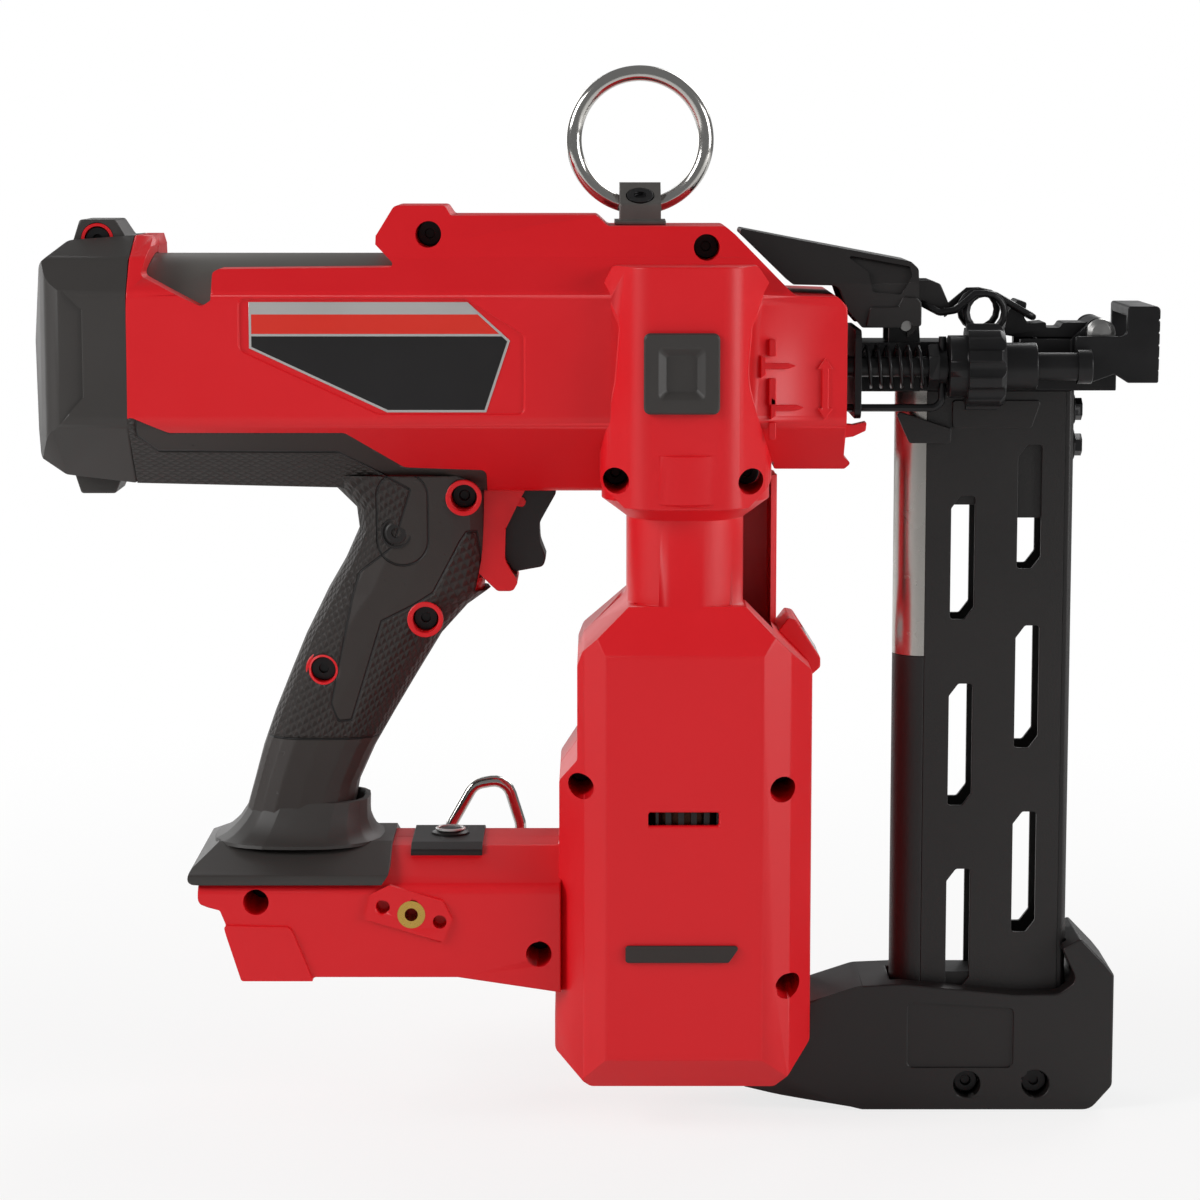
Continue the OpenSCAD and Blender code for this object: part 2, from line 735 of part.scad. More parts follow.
module piston() {
  color("#d9dadb")
    difference() {
      turned_x(axis, [[piston_x - piston_len, 0], [piston_x - piston_len, bore_r - 0.3],
        [piston_x - 8, bore_r - 0.3], [piston_x - 8, bore_r - 2.4],
        [piston_x - 4.6, bore_r - 2.4], [piston_x - 4.6, bore_r - 0.3],
        [piston_x - 1, bore_r - 0.3], [piston_x, bore_r - 3], [piston_x, 8.5],
        [piston_x + 5, 7.8], [piston_x + 6, 7], [piston_x + 6, 0]]);
      // Slot that the blade is seated in
      box([piston_x, -blade_w / 2 - run, drive_z - blade_t / 2 - run],
        [piston_x + 7, blade_w / 2 + run, drive_z + blade_t / 2 + run]);
    }
}

module piston_seal() {
  color(black)
    turned_x(axis, [[piston_x - 7.9, bore_r - 2.3], [piston_x - 7.9, bore_r - 0.4],
      [piston_x - 7.1, bore_r - run], [piston_x - 5.5, bore_r - run],
      [piston_x - 4.7, bore_r - 0.4], [piston_x - 4.7, bore_r - 2.3]]);
}

// Toothed blade. Each tooth waits just ahead of its roller.
roller_r = 2.2;
tooth_w = 3.5;
tooth_gap = 1;
blade_x = 150;
tooth_h = motor_y - blade_w / 2 - lifter_r + 1.6;
module driver_blade() {
  color("#9fa3a8")
    union() {
      box([piston_x, -blade_w / 2, drive_z - blade_t / 2],
        [blade_x, blade_w / 2, drive_z + blade_t / 2]);
      for (k = [0:6])
        translate([motor_x + lifter_r * PI / 4 * k - roller_r - tooth_gap - tooth_w / 2, 0,
          drive_z - blade_t / 2])
          linear_extrude(blade_t)
            polygon([[-tooth_w / 2 - 0.8, -blade_w / 2 + 0.5],
              [-tooth_w / 2, -blade_w / 2 - tooth_h],
              [tooth_w / 2, -blade_w / 2 - tooth_h], [tooth_w / 2, -blade_w / 2 + 0.5]]);
    }
}

lifter_at = [motor_x, -motor_y, drive_z];
disc_r = lifter_r + 2.8;
disc_gap = blade_t / 2 + 1.2;
shaft_r = 5;

module lifter_wheel() {
  color(steel)
    difference() {
      translate(lifter_at)
        for (s = [-1, 1])
          translate([0, 0, s > 0 ? disc_gap : -disc_gap - 2.4])
            cylinder(r = disc_r, h = 2.4);
      for (k = [0:6])
        roller(k, roller_r - 1 + run);
      rod_z(lifter_at - [0, 0, 20], shaft_r + run, 40);
    }
}

module roller(k, r) {
  translate(lifter_at)
    rotate(90 - 45 * k)
      translate([lifter_r, 0, -disc_gap - 2.4])
        cylinder(r = r, h = 2 * disc_gap + 4.8);
}

module lifter_rollers() {
  color("#e2e4e6")
    for (k = [0:6]) {
      roller(k, roller_r - 1);
      intersection() {
        roller(k, roller_r);
        rod_z(lifter_at - [0, 0, disc_gap - 0.1], 40, 2 * disc_gap - 0.2);
      }
    }
}

// Planetary reduction under the lifter
gear_m = 0.7;
sun_z = 12;
planet_z = 12;
ring_z = 36;
planet_far = gear_m * (sun_z + planet_z) / 2;
gear_low = shoulder_z + 16;
gear_t = 8;
gear_case_r = neck_r - wall - 0.2;

// Straight-flanked gear blank with its teeth, in plan
module gear(z, phase = 0, tip = 0.9, root = 1.15) {
  p = gear_m * PI;
  hull_r = gear_m * (z / 2 - root);
  circle(r = hull_r, $fn = 4 * z);
  for (k = [0:z - 1])
    rotate(phase + 360 * k / z)
      polygon([[hull_r - 0.3, -0.26 * p], [gear_m * z / 2, -0.2 * p],
        [gear_m * (z / 2 + tip), -0.1 * p], [gear_m * (z / 2 + tip), 0.1 * p],
        [gear_m * z / 2, 0.2 * p], [hull_r - 0.3, 0.26 * p]]);
}

module gear_case() {
  color("#7b7e82")
    translate([motor_x, -motor_y, gear_low - 6]) {
      difference() {
        union() {
          cylinder(r = gear_case_r, h = 30);
          // Collars of the motor's top bearing and the shaft's lower one
          translate([0, 0, -6.5])
            cylinder(r = 11.5, h = 8);
          translate([0, 0, 28])
            cylinder(r = shaft_r + 8.5, h = drive_z - 22 + bearing_t - gear_low + 6 - 28);
        }
        translate([0, 0, 4])
          cylinder(r = gear_m * (ring_z / 2 + 1.3), h = 23);
        translate([0, 0, -1])
          cylinder(r = 5.4, h = 8);
        translate([0, 0, -7])
          cylinder(r = 9 + run, h = 7);
        translate([0, 0, 20])
          cylinder(r = shaft_r + 1.5, h = 60);
        translate([0, 0, drive_z - 22 - gear_low + 6])
          cylinder(r = shaft_r + 6 + run, h = 60);
      }
      translate([0, 0, 6])
        linear_extrude(gear_t)
          difference() {
            circle(r = gear_m * (ring_z / 2 + 1.3) + 0.2);
            difference() {
              circle(r = gear_m * (ring_z / 2 + 1.2), $fn = 108);
              for (k = [0:ring_z - 1])
                rotate(360 * k / ring_z)
                  polygon([[gear_m * (ring_z / 2 + 1.4), -0.62],
                    [gear_m * (ring_z / 2 + 1.4), 0.62], [gear_m * ring_z / 2, 0.44],
                    [gear_m * (ring_z / 2 - 0.9), 0.22], [gear_m * (ring_z / 2 - 0.9), -0.22],
                    [gear_m * ring_z / 2, -0.44]]);
            }
          }
    }
}

module planet_gear(i) {
  color("#a8acb0")
    translate([motor_x, -motor_y, gear_low])
      rotate(120 * (i - 1))
        translate([planet_far, 0, 0.3])
          linear_extrude(gear_t - 0.6)
            difference() {
              rotate(-120 * (i - 1))
                gear(planet_z, 15);
              circle(r = 1.5 + run, $fn = 32);
            }
}

module planet_gear_1() { planet_gear(1); }
module planet_gear_2() { planet_gear(2); }
module planet_gear_3() { planet_gear(3); }

module planet_carrier() {
  color("#8e9296")
    translate([motor_x, -motor_y, gear_low]) {
      translate([0, 0, gear_t])
        cylinder(r = planet_far + 3.2, h = 4);
      for (i = [0:2])
        rotate(120 * i)
          translate([planet_far, 0, -0.5])
            cylinder(r = 1.5, h = gear_t + 1);
      translate([0, 0, gear_t + 3])
        cylinder(r = shaft_r, h = drive_z + 17 - gear_low - gear_t - 3);
    }
}

// Ball bearings on the output shaft and the motor shaft: height, bore radius
bearing_t = 6;
bearings = [[drive_z - 22, shaft_r], [drive_z + 10, shaft_r], [48, 3], [gear_low - 12, 3]];
module ball_bearings() {
  color("#c4c8cc")
    for (q = bearings)
      translate([motor_x, -motor_y, q[0]])
        rotate_extrude()
          polygon([[q[1] + run, 0], [q[1] + 2.2, 0], [q[1] + 2.6, 0.6], [q[1] + 3.4, 0.6],
            [q[1] + 3.8, 0], [q[1] + 6, 0], [q[1] + 6, bearing_t], [q[1] + 3.8, bearing_t],
            [q[1] + 3.4, bearing_t - 0.6], [q[1] + 2.6, bearing_t - 0.6],
            [q[1] + 2.2, bearing_t], [q[1] + run, bearing_t]]);
}

// Motor
motor_r = 21.5;
motor_low = 66;
motor_high = 140;
module motor_stator() {
  color("#8a5a33")
    translate([motor_x, -motor_y, motor_low])
      linear_extrude(motor_high - motor_low)
        difference() {
          circle(r = motor_r);
          difference() {
            circle(r = motor_r - 3);
            for (k = [0:5])
              rotate(60 * k)
                translate([12.5, -2.2])
                  square([7, 4.4]);
            for (k = [0:5])
              rotate(60 * k)
                translate([11.6, -5])
                  square([2.2, 10]);
          }
        }
}

module motor_rotor() {
  color("#5d6166")
    translate([motor_x, -motor_y, 0]) {
      translate([0, 0, motor_low])
        cylinder(r = 11, h = motor_high - motor_low);
      translate([0, 0, 46])
        cylinder(r = 3, h = gear_low - 46 - 2);
      translate([0, 0, gear_low - 3])
        linear_extrude(gear_t + 2.5)
          gear(sun_z, 0);
    }
}

module motor_fan() {
  color(black)
    translate([motor_x, -motor_y, 56])
      difference() {
        union() {
          cylinder(r = 6, h = 7);
          cylinder(r = 20, h = 1.4);
          for (k = [0:8])
            rotate(40 * k)
              translate([5, -0.6, 0])
                rotate([0, 0, 14])
                  cube([14, 1.2, 7]);
        }
        translate([0, 0, -1])
          cylinder(r = 3 + run, h = 10);
      }
}

module electronics_module() {
  color("#2f3236")
    union() {
      box([0, 6, 60], [51, 18, 128]);
      for (k = [0:5])
        box([2 + 7.6 * k, 17.5, 66], [5 + 7.6 * k, 25, 122]);
    }
}

module trigger_switch() {
  color("#303236")
    union() {
      box([-62, -8.2, drive_z - 66], [-45, 8.2, drive_z - 48]);
      box([-76, -5, drive_z - 80], [-63, 5, drive_z - 57.5]);
      rod_x([-46, 0, drive_z - 57], 2.5, 4.2);
      box([-66, -4, drive_z - 64], [-61, 4, drive_z - 58]);
    }
}

module battery_terminals() {
  color("#2b2d30")
    union() {
      box([-84, -18, 54.5], [-44, 18, 62]);
      for (k = [-2:2])
        box([-80, 6.5 * k - 0.5, 50], [-54, 6.5 * k + 0.5, 55]);
    }
}

// Trigger, hung on a cross pin at its top
trigger_pin = [-25.5, 0, drive_z - 44.5];
pivot_r = 1.6;
trigger_side = [[-28.3, -67.3, 2], [-18.2, -65.5, 2], [-17.4, -62.5, 1.5],
  [-19.3, -57.5, 6], [-19.6, -51.5, 6], [-13.6, -40.8, 1.5], [-20, -37.8, 1],
  [-30.5, -38.3, 1], [-37, -48, 2], [-38.3, -54, 1], [-38.3, -60, 1], [-31, -61.5, 1]];
module trigger() {
  color(black)
    difference() {
      translate([0, 0, drive_z])
        side(trigger_side, -8, 8);
      rod_y([trigger_pin[0], -10, trigger_pin[2]], pivot_r + run, 20);
    }
}

// Mode button on its plate
module button_plate() {
  color(black)
    difference() {
      intersection() {
        side([[-61, foot_z - 5, 0], [-38, foot_z - 5, 0], [-38, foot_z + 1.2, 0.6],
          [-61, foot_z + 1.2, 0.6]], -20, 20);
        along(both_sides([[20, foot_z - 6, 0], [20, foot_z - 0.6, 1], [14, foot_z + 1, 2]]));
      }
      foot_form();
      rod_z([button_x, 0, foot_z - 8], 6.2, 20);
    }
}

module mode_button() {
  color(black)
    rotate([0, 0, 0])
      translate([button_x, 0, foot_z + 0.2])
        rotate_extrude()
          polygon([[0, 0], [5.9, 0], [5.9, 1.4], [4.6, 2.1], [2.4, 2.5], [0, 2.6]]);
}

// Soft pads on the tower
module square_pad() {
  color(dark)
    difference() {
      side(raised([[13.5, -13, 2], [37, -13, 2], [37, 12, 2], [13.5, 12, 2]], drive_z),
        -tower_face - 1, -tower_face);
      side(raised([[17, -8, 3], [33, -9, 3], [34, 7, 2], [17, 8, 3]], drive_z),
        -tower_face - 2, -tower_face - 0.4);
    }
}

module bar_pad() {
  color(dark)
    side([[8, 57, 1], [40.5, 57, 1], [44.3, 62.5, 1], [8, 62.5, 1]],
      -tower_face - 1.2, -tower_face);
}

module vent_screen() {
  color(black)
    difference() {
      side([[17.5, 97, 0.5], [38, 97, 0.5], [38, 107, 0.5], [17.5, 107, 0.5]],
        -tower_face + wall, -tower_face + wall + 0.8);
      for (k = [0:4])
        box([18.4 + 4 * k, -tower_face, 98.5], [20.6 + 4 * k, -tower_face + 6, 105.5]);
    }
}

// Work light, set on the slope above the motor
light_side = [[motor_x + 29, shoulder_z + 0.5, 1], [motor_x + 40, shoulder_z - 13, 1],
  [motor_x + 44, shoulder_z - 9.5, 1.5], [motor_x + 44, shoulder_z - 6.5, 1.5],
  [motor_x + 36, shoulder_z + 6, 1.5], [motor_x + 33.5, shoulder_z + 6.5, 1]];
module light_housing() {
  color(red)
    difference() {
      side(light_side, -13, 13);
      intersection() {
        tower_form();
        box([-far, -far, 0], [far, far, far]);
      }
      light_pocket(0);
    }
}

module light_pocket(s) {
  translate([motor_x + 41.6, 0, shoulder_z - 1])
    rotate([0, -57.5 + 90, 0])
      box([-5 + s, -10 + s, -4], [5 - s, 10 - s, 4]);
}

module light_lens() {
  color("#e8ecec")
    intersection() {
      translate([motor_x + 41.6, 0, shoulder_z - 1])
        rotate([0, -57.5 + 90, 0])
          box([-4.9, -9.9, -3], [4.9, 9.9, 0]);
      side(light_side, -13, 13);
    }
}

module mount_inserts() {
  color("#c8a552")
    for (s = [-1, 1])
      difference() {
        rod_y([insert_x, s * (foot_y - insert_len / 2) - insert_len / 2, insert_z],
          insert_r, insert_len);
        rod_y([insert_x, s * foot_y - 20, insert_z], thread_r, 40);
      }
}

// Wire hook on the left side of the foot, held by one screw in the insert
eye_t = 3;
hook_y = 49;
module wire_hook() {
  path = bent([[insert_x, foot_y + hook_wire + 0.1, insert_z - 6.3],
    [insert_x + 10, foot_y + hook_wire + 0.1, insert_z - 6.3], [insert_x + 17, hook_y, insert_z - 5],
    [insert_x + 8, hook_y, insert_z + 10], [insert_x + 17, hook_y, insert_z + 26],
    [insert_x + 28, hook_y, insert_z + 28], [insert_x + 33, hook_y, insert_z + 12],
    [insert_x + 30, hook_y, insert_z - 8]], 6);
  color(steel)
    union() {
      difference() {
        rod_y([insert_x, foot_y, insert_z], 8, eye_t);
        rod_y([insert_x, foot_y - 1, insert_z], 2.7, eye_t + 2);
      }
      wire(path, hook_wire, [0, 0, 1]);
    }
}

module hook_screw() {
  color("#9a9da2")
    difference() {
      union() {
        rod_y([insert_x, foot_y + eye_t, insert_z], 4.3, 3);
        rod_y([insert_x, foot_y - 6, insert_z], thread_r - run, eye_t + 7);
      }
      rod_y([insert_x, foot_y + eye_t + 1.2, insert_z], 2, 4);
    }
}

// Carrying ring, upright in its bracket
ring_at = [12.8, 5.2, drive_z + 49.7 + ring_r];
bracket_low = drive_z + 44;
bracket_front = [[-8.5, 0, 0.5], [10.7, 0, 0.5], [10.7, 9.5, 1], [6, 13.4, 1.5], [2, 13.4, 1],
  [-8.5, 6.8, 1]];
screw_tilt = 32;
ring_screw_at = [12.8, -4, bracket_low + 8.5];

module ring_bracket() {
  color("#6a665f")
    difference() {
      union() {
        along(raised(bracket_front, bracket_low), 6.2, 19.4);
        box([4.6, -9.5, bracket_low], [21, 11.6, bracket_low + 1.6]);
      }
      // Hole flared for the ring's own curve, so that the ring can swing
      turned_x([ring_at[0], ring_at[1], ring_at[2] - ring_r],
        [[-9, 0], [-9, ring_wire + 1.9], [0, ring_wire + 0.25], [9, ring_wire + 1.9], [9, 0]]);
      translate(ring_screw_at)
        rotate([screw_tilt, 0, 0]) {
          translate([0, 0, -1])
            cylinder(r = 4.6, h = 12);
          translate([0, 0, -12])
            cylinder(r = 2.1, h = 20);
        }
    }
}

module ring_screw() {
  color("#3b3b3d")
    translate(ring_screw_at)
      rotate([screw_tilt, 0, 0])
        difference() {
          union() {
            translate([0, 0, -1])
              cylinder(r = 4.2, h = 2.2);
            translate([0, 0, -5.4])
              cylinder(r = 2, h = 5);
          }
          translate([0, 0, 0.2])
            cylinder(r = 2, h = 3);
        }
}

module carry_ring() {
  color("#c9cccf")
    translate(ring_at)
      rotate([90, 0, 0])
        rotate_extrude($fn = 96)
          translate([ring_r, 0])
            circle(r = ring_wire, $fn = 32);
}

// Nose. Sections below give their heights from the drive axis.
channel_y = blade_w / 2 + 0.35;
channel_z = blade_t / 2 + 0.35;
nose_x = 165;
mag_top = -8.6;
rod_r = 3.2;
module nose_form() {
    difference() {
      union() {
        // Flange against the housing, with its guide for the contact rod
        translate([0, 0, drive_z])
          along([[-rod_y - 8, -16, 3], [15, -16, 3], [15, 12, 3], [-rod_y - 8, 12, 3]], 79.8, 82);
        box([82, -9.8, drive_z + mag_top], [126, 13, drive_z + 7]);
        box([82, -tooth_far - 2.2, drive_z + mag_top], [102, 0, drive_z + 7]);
        box([126, -9.8, drive_z + mag_top], [nose_x, 10, drive_z + 4]);
        // Rails beside the door and the ears of its pin
        for (s = [-1, 1]) {
          box([134, s > 0 ? 8 : -12.5, drive_z], [154, s > 0 ? 12.5 : -8, drive_z + 8]);
          translate([0, 0, drive_z])
            side([[150, 0, 0], [164, 0, 0], [164, 10, 4], [159.2, 14.6, 4], [154.5, 12, 4],
              [150, 8, 0]], s > 0 ? 10.4 : -13.6, s > 0 ? 13.6 : -10.4);
        }
        // Upright ears of the latch lever
        for (s = [-1, 1])
          translate([0, 0, drive_z])
            side([[92, 6, 0], [102, 6, 0], [101.5, 13, 1], [100.5, 16.5, 3], [96, 17, 4],
              [92, 13, 3]], s > 0 ? 9.5 : -12.5, s > 0 ? 12.5 : -9.5);
      }
      box([60, -channel_y, drive_z - channel_z], [200, channel_y, drive_z + channel_z]);
      box([126, -channel_y, drive_z], [200, channel_y, drive_z + 20]);
      box([60, -tooth_far - 0.4, drive_z - channel_z], [100.6, 0, drive_z + channel_z]);
      // The magazine feeds the channel from below
      box([98, -channel_y, drive_z - 20], [nose_x - 11, channel_y, drive_z]);
      rod_x([70, -rod_y, drive_z], rod_r + 0.1, 30);
      rod_x([70, -rod_y, drive_z - 13], 1.4, 30);
      rod_y([door_at[0], -20, door_at[2]], 2 + run, 40);
      rod_y([lever_at[0], -20, lever_at[2]], 1.7 + run, 40);
    }
}

// Rear block of the nose: flange, room for the blade's teeth, and lever ears
nose_split = 102;
module nose_collar() {
  color("#3c3d40")
    difference() {
      nose_form();
      box([nose_split, -far, -far], [far, far, far]);
    }
}

module nose_casting() {
  color("#3c3d40")
    difference() {
      nose_form();
      box([-far, -far, -far], [nose_split, far, far]);
    }
}

// Nose door with the upright tab that the wire hooks round
door_at = [159.2, 0, drive_z + 10];
door_side = [[129.5, 9, 0.5], [133, 8.4, 1], [154, 8.4, 1], [156, 5, 1], [162.5, 5, 2],
  [163.8, 10, 3], [160, 14.6, 3], [155, 13, 2], [148, 13, 1], [147, 11.4, 1],
  [142.6, 11.4, 0.5], [142.6, 13.2, 0.6], [137, 12.6, 1], [135.6, 14.6, 1],
  [136.4, 19.4, 0.8], [133.4, 20.4, 1], [130.2, 16.4, 2], [129.3, 11, 1]];
module nose_door() {
  color("#2a2a2c")
    difference() {
      union() {
        translate([0, 0, drive_z])
          side(door_side, -7.5, 7.5);
        box([140, -5.5, drive_z + 3.2], [153, 5.5, drive_z + 9]);
        rod_y([door_at[0], -9.8, door_at[2]], 4.6, 19.6);
      }
      rod_y([door_at[0], -12, door_at[2]], 2 + run, 24);
    }
}

module hinge_pins() {
  color(steel)
    union() {
      rod_y([door_at[0], -15, door_at[2]], 2, 30);
      rod_y([lever_at[0], -16.5, lever_at[2]], 1.7, 33);
      for (s = [-1, 1])
        translate([door_at[0], s * 13.7, door_at[2]])
          rotate([s > 0 ? -90 : 90, 0, 0])
            rotate_extrude()
              polygon([[0, 0], [4.7, 0], [4.4, 1.1], [3, 1.9], [0, 2.3]]);
    }
}

// Latch lever over the nose, and its wire
lever_at = [97, 0, drive_z + 12.5];
wire_at = [103.2, 0, drive_z + 19];
lever_side = [[61, 25.6, 1], [75.2, 25.3, 3], [77.7, 18, 2], [83, 12, 1], [100.8, 12, 0.5],
  [100.8, 30.5, 2], [98.4, 32.8, 2], [62, 39.7, 1], [44.6, 43.1, 0.8], [44.4, 41.6, 0.5]];
lever_half = 19.5;
lever_panel = [[77.5, 34.9, 0.5], [84.8, 29.5, 1], [86.2, 23.2, 1], [95.2, 22.4, 1],
  [98.8, 28.4, 1], [98, 31.2, 0.5]];
lever_step = [[84, 12.4, 0.5], [101.6, 12.4, 1], [101.6, 20, 1.5], [100, 21.6, 1],
  [96, 21.6, 1], [94.4, 18.6, 1], [85.4, 18.6, 1]];
lever_ear = [[100, 12.6, 0], [105, 12.6, 1], [111, 15.2, 1.5], [111.6, 18.4, 1.5],
  [108.6, 25.4, 1.5], [105.4, 26.6, 1], [100, 26.6, 0]];
lever_front = [[-lever_half, 5, 0], [lever_half, 5, 0], [lever_half, 26, 2],
  [lever_half - 8, 48, 3], [-lever_half + 8, 48, 3], [-lever_half, 26, 2]];
module latch_lever() {
  color("#262528")
    difference() {
      union() {
        translate([0, 0, drive_z])
          intersection() {
            side(lever_side);
            along(lever_front);
          }
        for (s = [-1, 1])
          rod_y([lever_at[0], s > 0 ? 13 : -16, lever_at[2]], 3.6, 3);
        for (s = [-1, 1])
          translate([0, 0, drive_z]) {
            side(lever_ear, s > 0 ? 6 : -8.4, s > 0 ? 8.4 : -6);
            side(lever_step, s > 0 ? 17 : -lever_half - 1, s > 0 ? lever_half + 1 : -17);
          }
      }
      // Hollow that straddles the nose
      translate([0, 0, drive_z])
        intersection() {
          side([[63, 0, 0], [97.5, 0, 0], [97.5, 28, 2], [66, 34, 2]], -16.8, 16.8);
          along([[-16.8, 0, 0], [16.8, 0, 0], [16.8, 25, 2], [10, 44, 2], [-10, 44, 2],
            [-16.8, 25, 2]]);
        }
      translate([0, 0, drive_z])
        side([[90, 0, 0], [110, 0, 0], [110, 17.8, 0], [92, 18.5, 2]], -12.8, 12.8);
      // Panel set back in both flanks, at one depth from the slope
      translate([0, 0, drive_z])
        difference() {
          side(lever_panel);
          along(inset(lever_front, 1.3));
        }
      rod_y([lever_at[0], -30, lever_at[2]], 1.75, 60);
      rod_y([wire_at[0], -20, wire_at[2]], 1.15, 40);
    }
}

latch_wire_r = 1.15;
loop_r = 6;
loop_at = [wire_at[0] + 19.6, wire_at[2] - 2.6];
bar_x = wire_at[0] + 35.2;
// One leg with its sprung loop, from the lever to the cross bar
function latch_leg(s) = concat(
  bent([[wire_at[0], s * 5, wire_at[2]], [wire_at[0], s * 11.6, wire_at[2]],
    [wire_at[0] + 5, s * 11.6, wire_at[2] - 2.6], [wire_at[0] + 10, s * 11.6, wire_at[2] - 1.8],
    [loop_at[0] - 3.4, s * 11.6, loop_at[1] + loop_r]], 2.4, 3),
  [for (k = [0:16])
    let (a = 90 - 22.5 * k)
    [loop_at[0] + loop_r * cos(a), s * (11.6 - 2.7 * k / 16), loop_at[1] + loop_r * sin(a)]],
  [[loop_at[0] + 3.4, s * 8.9, loop_at[1] + loop_r - 0.6]]);
module latch_wire() {
  legs = [for (s = [-1, 1]) latch_leg(s)];
  bar = bent([legs[0][len(legs[0]) - 1], [bar_x, -8.9, wire_at[2] - 4.2],
    [bar_x, 8.9, wire_at[2] - 4.2], legs[1][len(legs[1]) - 1]], 2.4, 3);
  far_leg = [for (k = [len(legs[1]) - 2:-1:0]) legs[1][k]];
  near_leg = [for (k = [0:len(legs[0]) - 2]) legs[0][k]];
  color("#44464a")
    wire(concat(near_leg, bar, far_leg), latch_wire_r, [1, 0, 0], 8);
}

// Work contact on its rod
rod_at = [0, -rod_y, drive_z];
spring_back = 82.3;
nut_x = 103.4;
nut_t = 3.3;
wheel_x = 109.8;
wheel_len = 17.4;
sleeve_len = 10.4;
thread_rod_r = 4.5;
module contact_yoke() {
  path = bent([[nut_x + nut_t + 1.25, -rod_y, drive_z + 9.5],
    [nut_x + nut_t + 1.25, -rod_y, drive_z - 13], [76, -rod_y, drive_z - 13]], 3.4);
  color("#6d7074")
    difference() {
      union() {
        rod_x(rod_at + [66, 0, 0], rod_r, wheel_x + 14 - 66);
        rod_x(rod_at + [nut_x + nut_t, 0, 0], 5.2, 2.5);
        wire(path, 1.2, [0, 1, 0], 8);
        rod_x(rod_at + [65, 0, 0], 5, 1.4);
      }
    }
}

module rod_nut() {
  color("#8b8f93")
    translate(rod_at + [nut_x, 0, 0])
      rotate([0, 90, 0])
        difference() {
          intersection() {
            cylinder(r = 7.2, h = nut_t, $fn = 6);
            cylinder(r1 = 6.6, r2 = 8.4, h = nut_t);
          }
          translate([0, 0, -1])
            cylinder(r = rod_r + run, h = nut_t + 2);
        }
}

spring_wire = 0.6;
spring_len = nut_x - spring_back - 2 * spring_wire - 0.3;
spring_path = [for (k = [0:8 * spring_turns])
  let (a = 45 * k, u = k / (8 * spring_turns))
  [spring_back + spring_wire + 0.15 + spring_len * u,
    -rod_y + (spring_r - spring_wire) * cos(a), drive_z + (spring_r - spring_wire) * sin(a)]];
// Least distance between curls that follow each other, from point to point
spring_gap = min([for (i = [0:len(spring_path) - 1], j = [i + 5:1:len(spring_path) - 1])
  norm(spring_path[i] - spring_path[j])]) - 2 * spring_wire;
echo(least_gap_between_curls = spring_gap);
module contact_spring() {
  color("#b5b8bb")
    wire(spring_path, spring_wire, [1, 0, 0], 6);
}

module depth_wheel() {
  color("#3a3b3f")
    translate(rod_at + [wheel_x, 0, 0])
      rotate([0, 90, 0])
        difference() {
          union() {
            cylinder(r = 9.9, h = 6);
            translate([0, 0, 5.6])
              cylinder(r = wheel_r, h = wheel_len - 7.4);
            translate([0, 0, wheel_len - 1.8])
              cylinder(r1 = wheel_r, r2 = wheel_r - 1.8, h = 1.8);
            cylinder(r = 7.6, h = wheel_len + sleeve_len);
          }
          for (k = [0:9])
            rotate(36 * k + 18)
              translate([wheel_r + 1.9, 0, 5])
                cylinder(r = 3.4, h = 20);
          translate([0, 0, -1])
            cylinder(r = rod_r + run, h = 16);
          translate([0, 0, 14.5])
            cylinder(r = thread_rod_r + run, h = 20);
        }
}

// Contact tip: threaded rod, arm and a frame round the mouth of the nose
tip_side = [[150.5, -5.2, 2], [156, -5.2, 0], [163, -2.7, 0], [167.4, -5.5, 1],
  [177, -5.5, 0.6], [177.3, 18.8, 1.5], [167, 18.8, 1], [166.8, 9.2, 2], [150.5, 9.2, 1]];
tip_half = 19.5;
module contact_tip() {
  color("#55575b")
    difference() {
      union() {
        rod_x(rod_at + [wheel_x + 19, 0, 0], thread_rod_r, 24);
        rod_x(rod_at + [150.5, 0, 0], 5.4, 4.6);
        translate([0, 0, drive_z]) {
          side(tip_side, -tip_half, -tip_half + 3.2);
          side([[167, -5.5, 1], [177, -5.5, 0.6], [177.3, 18.8, 1.5], [167, 18.8, 1]],
            tip_half - 3.2, tip_half);
          side([[167, 15.6, 0.5], [177, 15.6, 0.5], [177.3, 18.8, 1.5], [167, 18.8, 1]],
            -tip_half + 1, tip_half - 1);
        }
      }
      // Teeth of the front edges
      for (s = [-1, 1], k = [0:4])
        translate([178.2, s * (tip_half - 1.6), drive_z - 1.6 + 4 * k])
          rotate([90, 45, 0])
            cube([2, 2, 8], center = true);
    }
}

// Magazine
mag_x = 104.6;
guide_r = mag_t / 2;
mag_front = mag_x - guide_r + mag_len;
mag_low = 38;
mag_high = drive_z + mag_top - 0.1;
plate_t = 1.6;
knob_x = mag_x + 24.1;
slot_w = 7.6;
slot_len = 40;
left_slots = [38.5, 99.5, 160.5];
right_slots = [57.5, 118.5, 177];

// Slot with two corners cut away
module mag_slot(x, z) {
  side([[x, z, 1], [x + slot_w - 3, z, 1], [x + slot_w, z + 4, 1],
    [x + slot_w, z + slot_len, 1], [x + 3, z + slot_len, 1], [x, z + slot_len - 4, 1]]);
}

module mag_slots() {
  for (z = left_slots)
    mag_slot(mag_x + 8.3, z);
  for (z = right_slots)
    mag_slot(mag_x + 29.6, z);
}

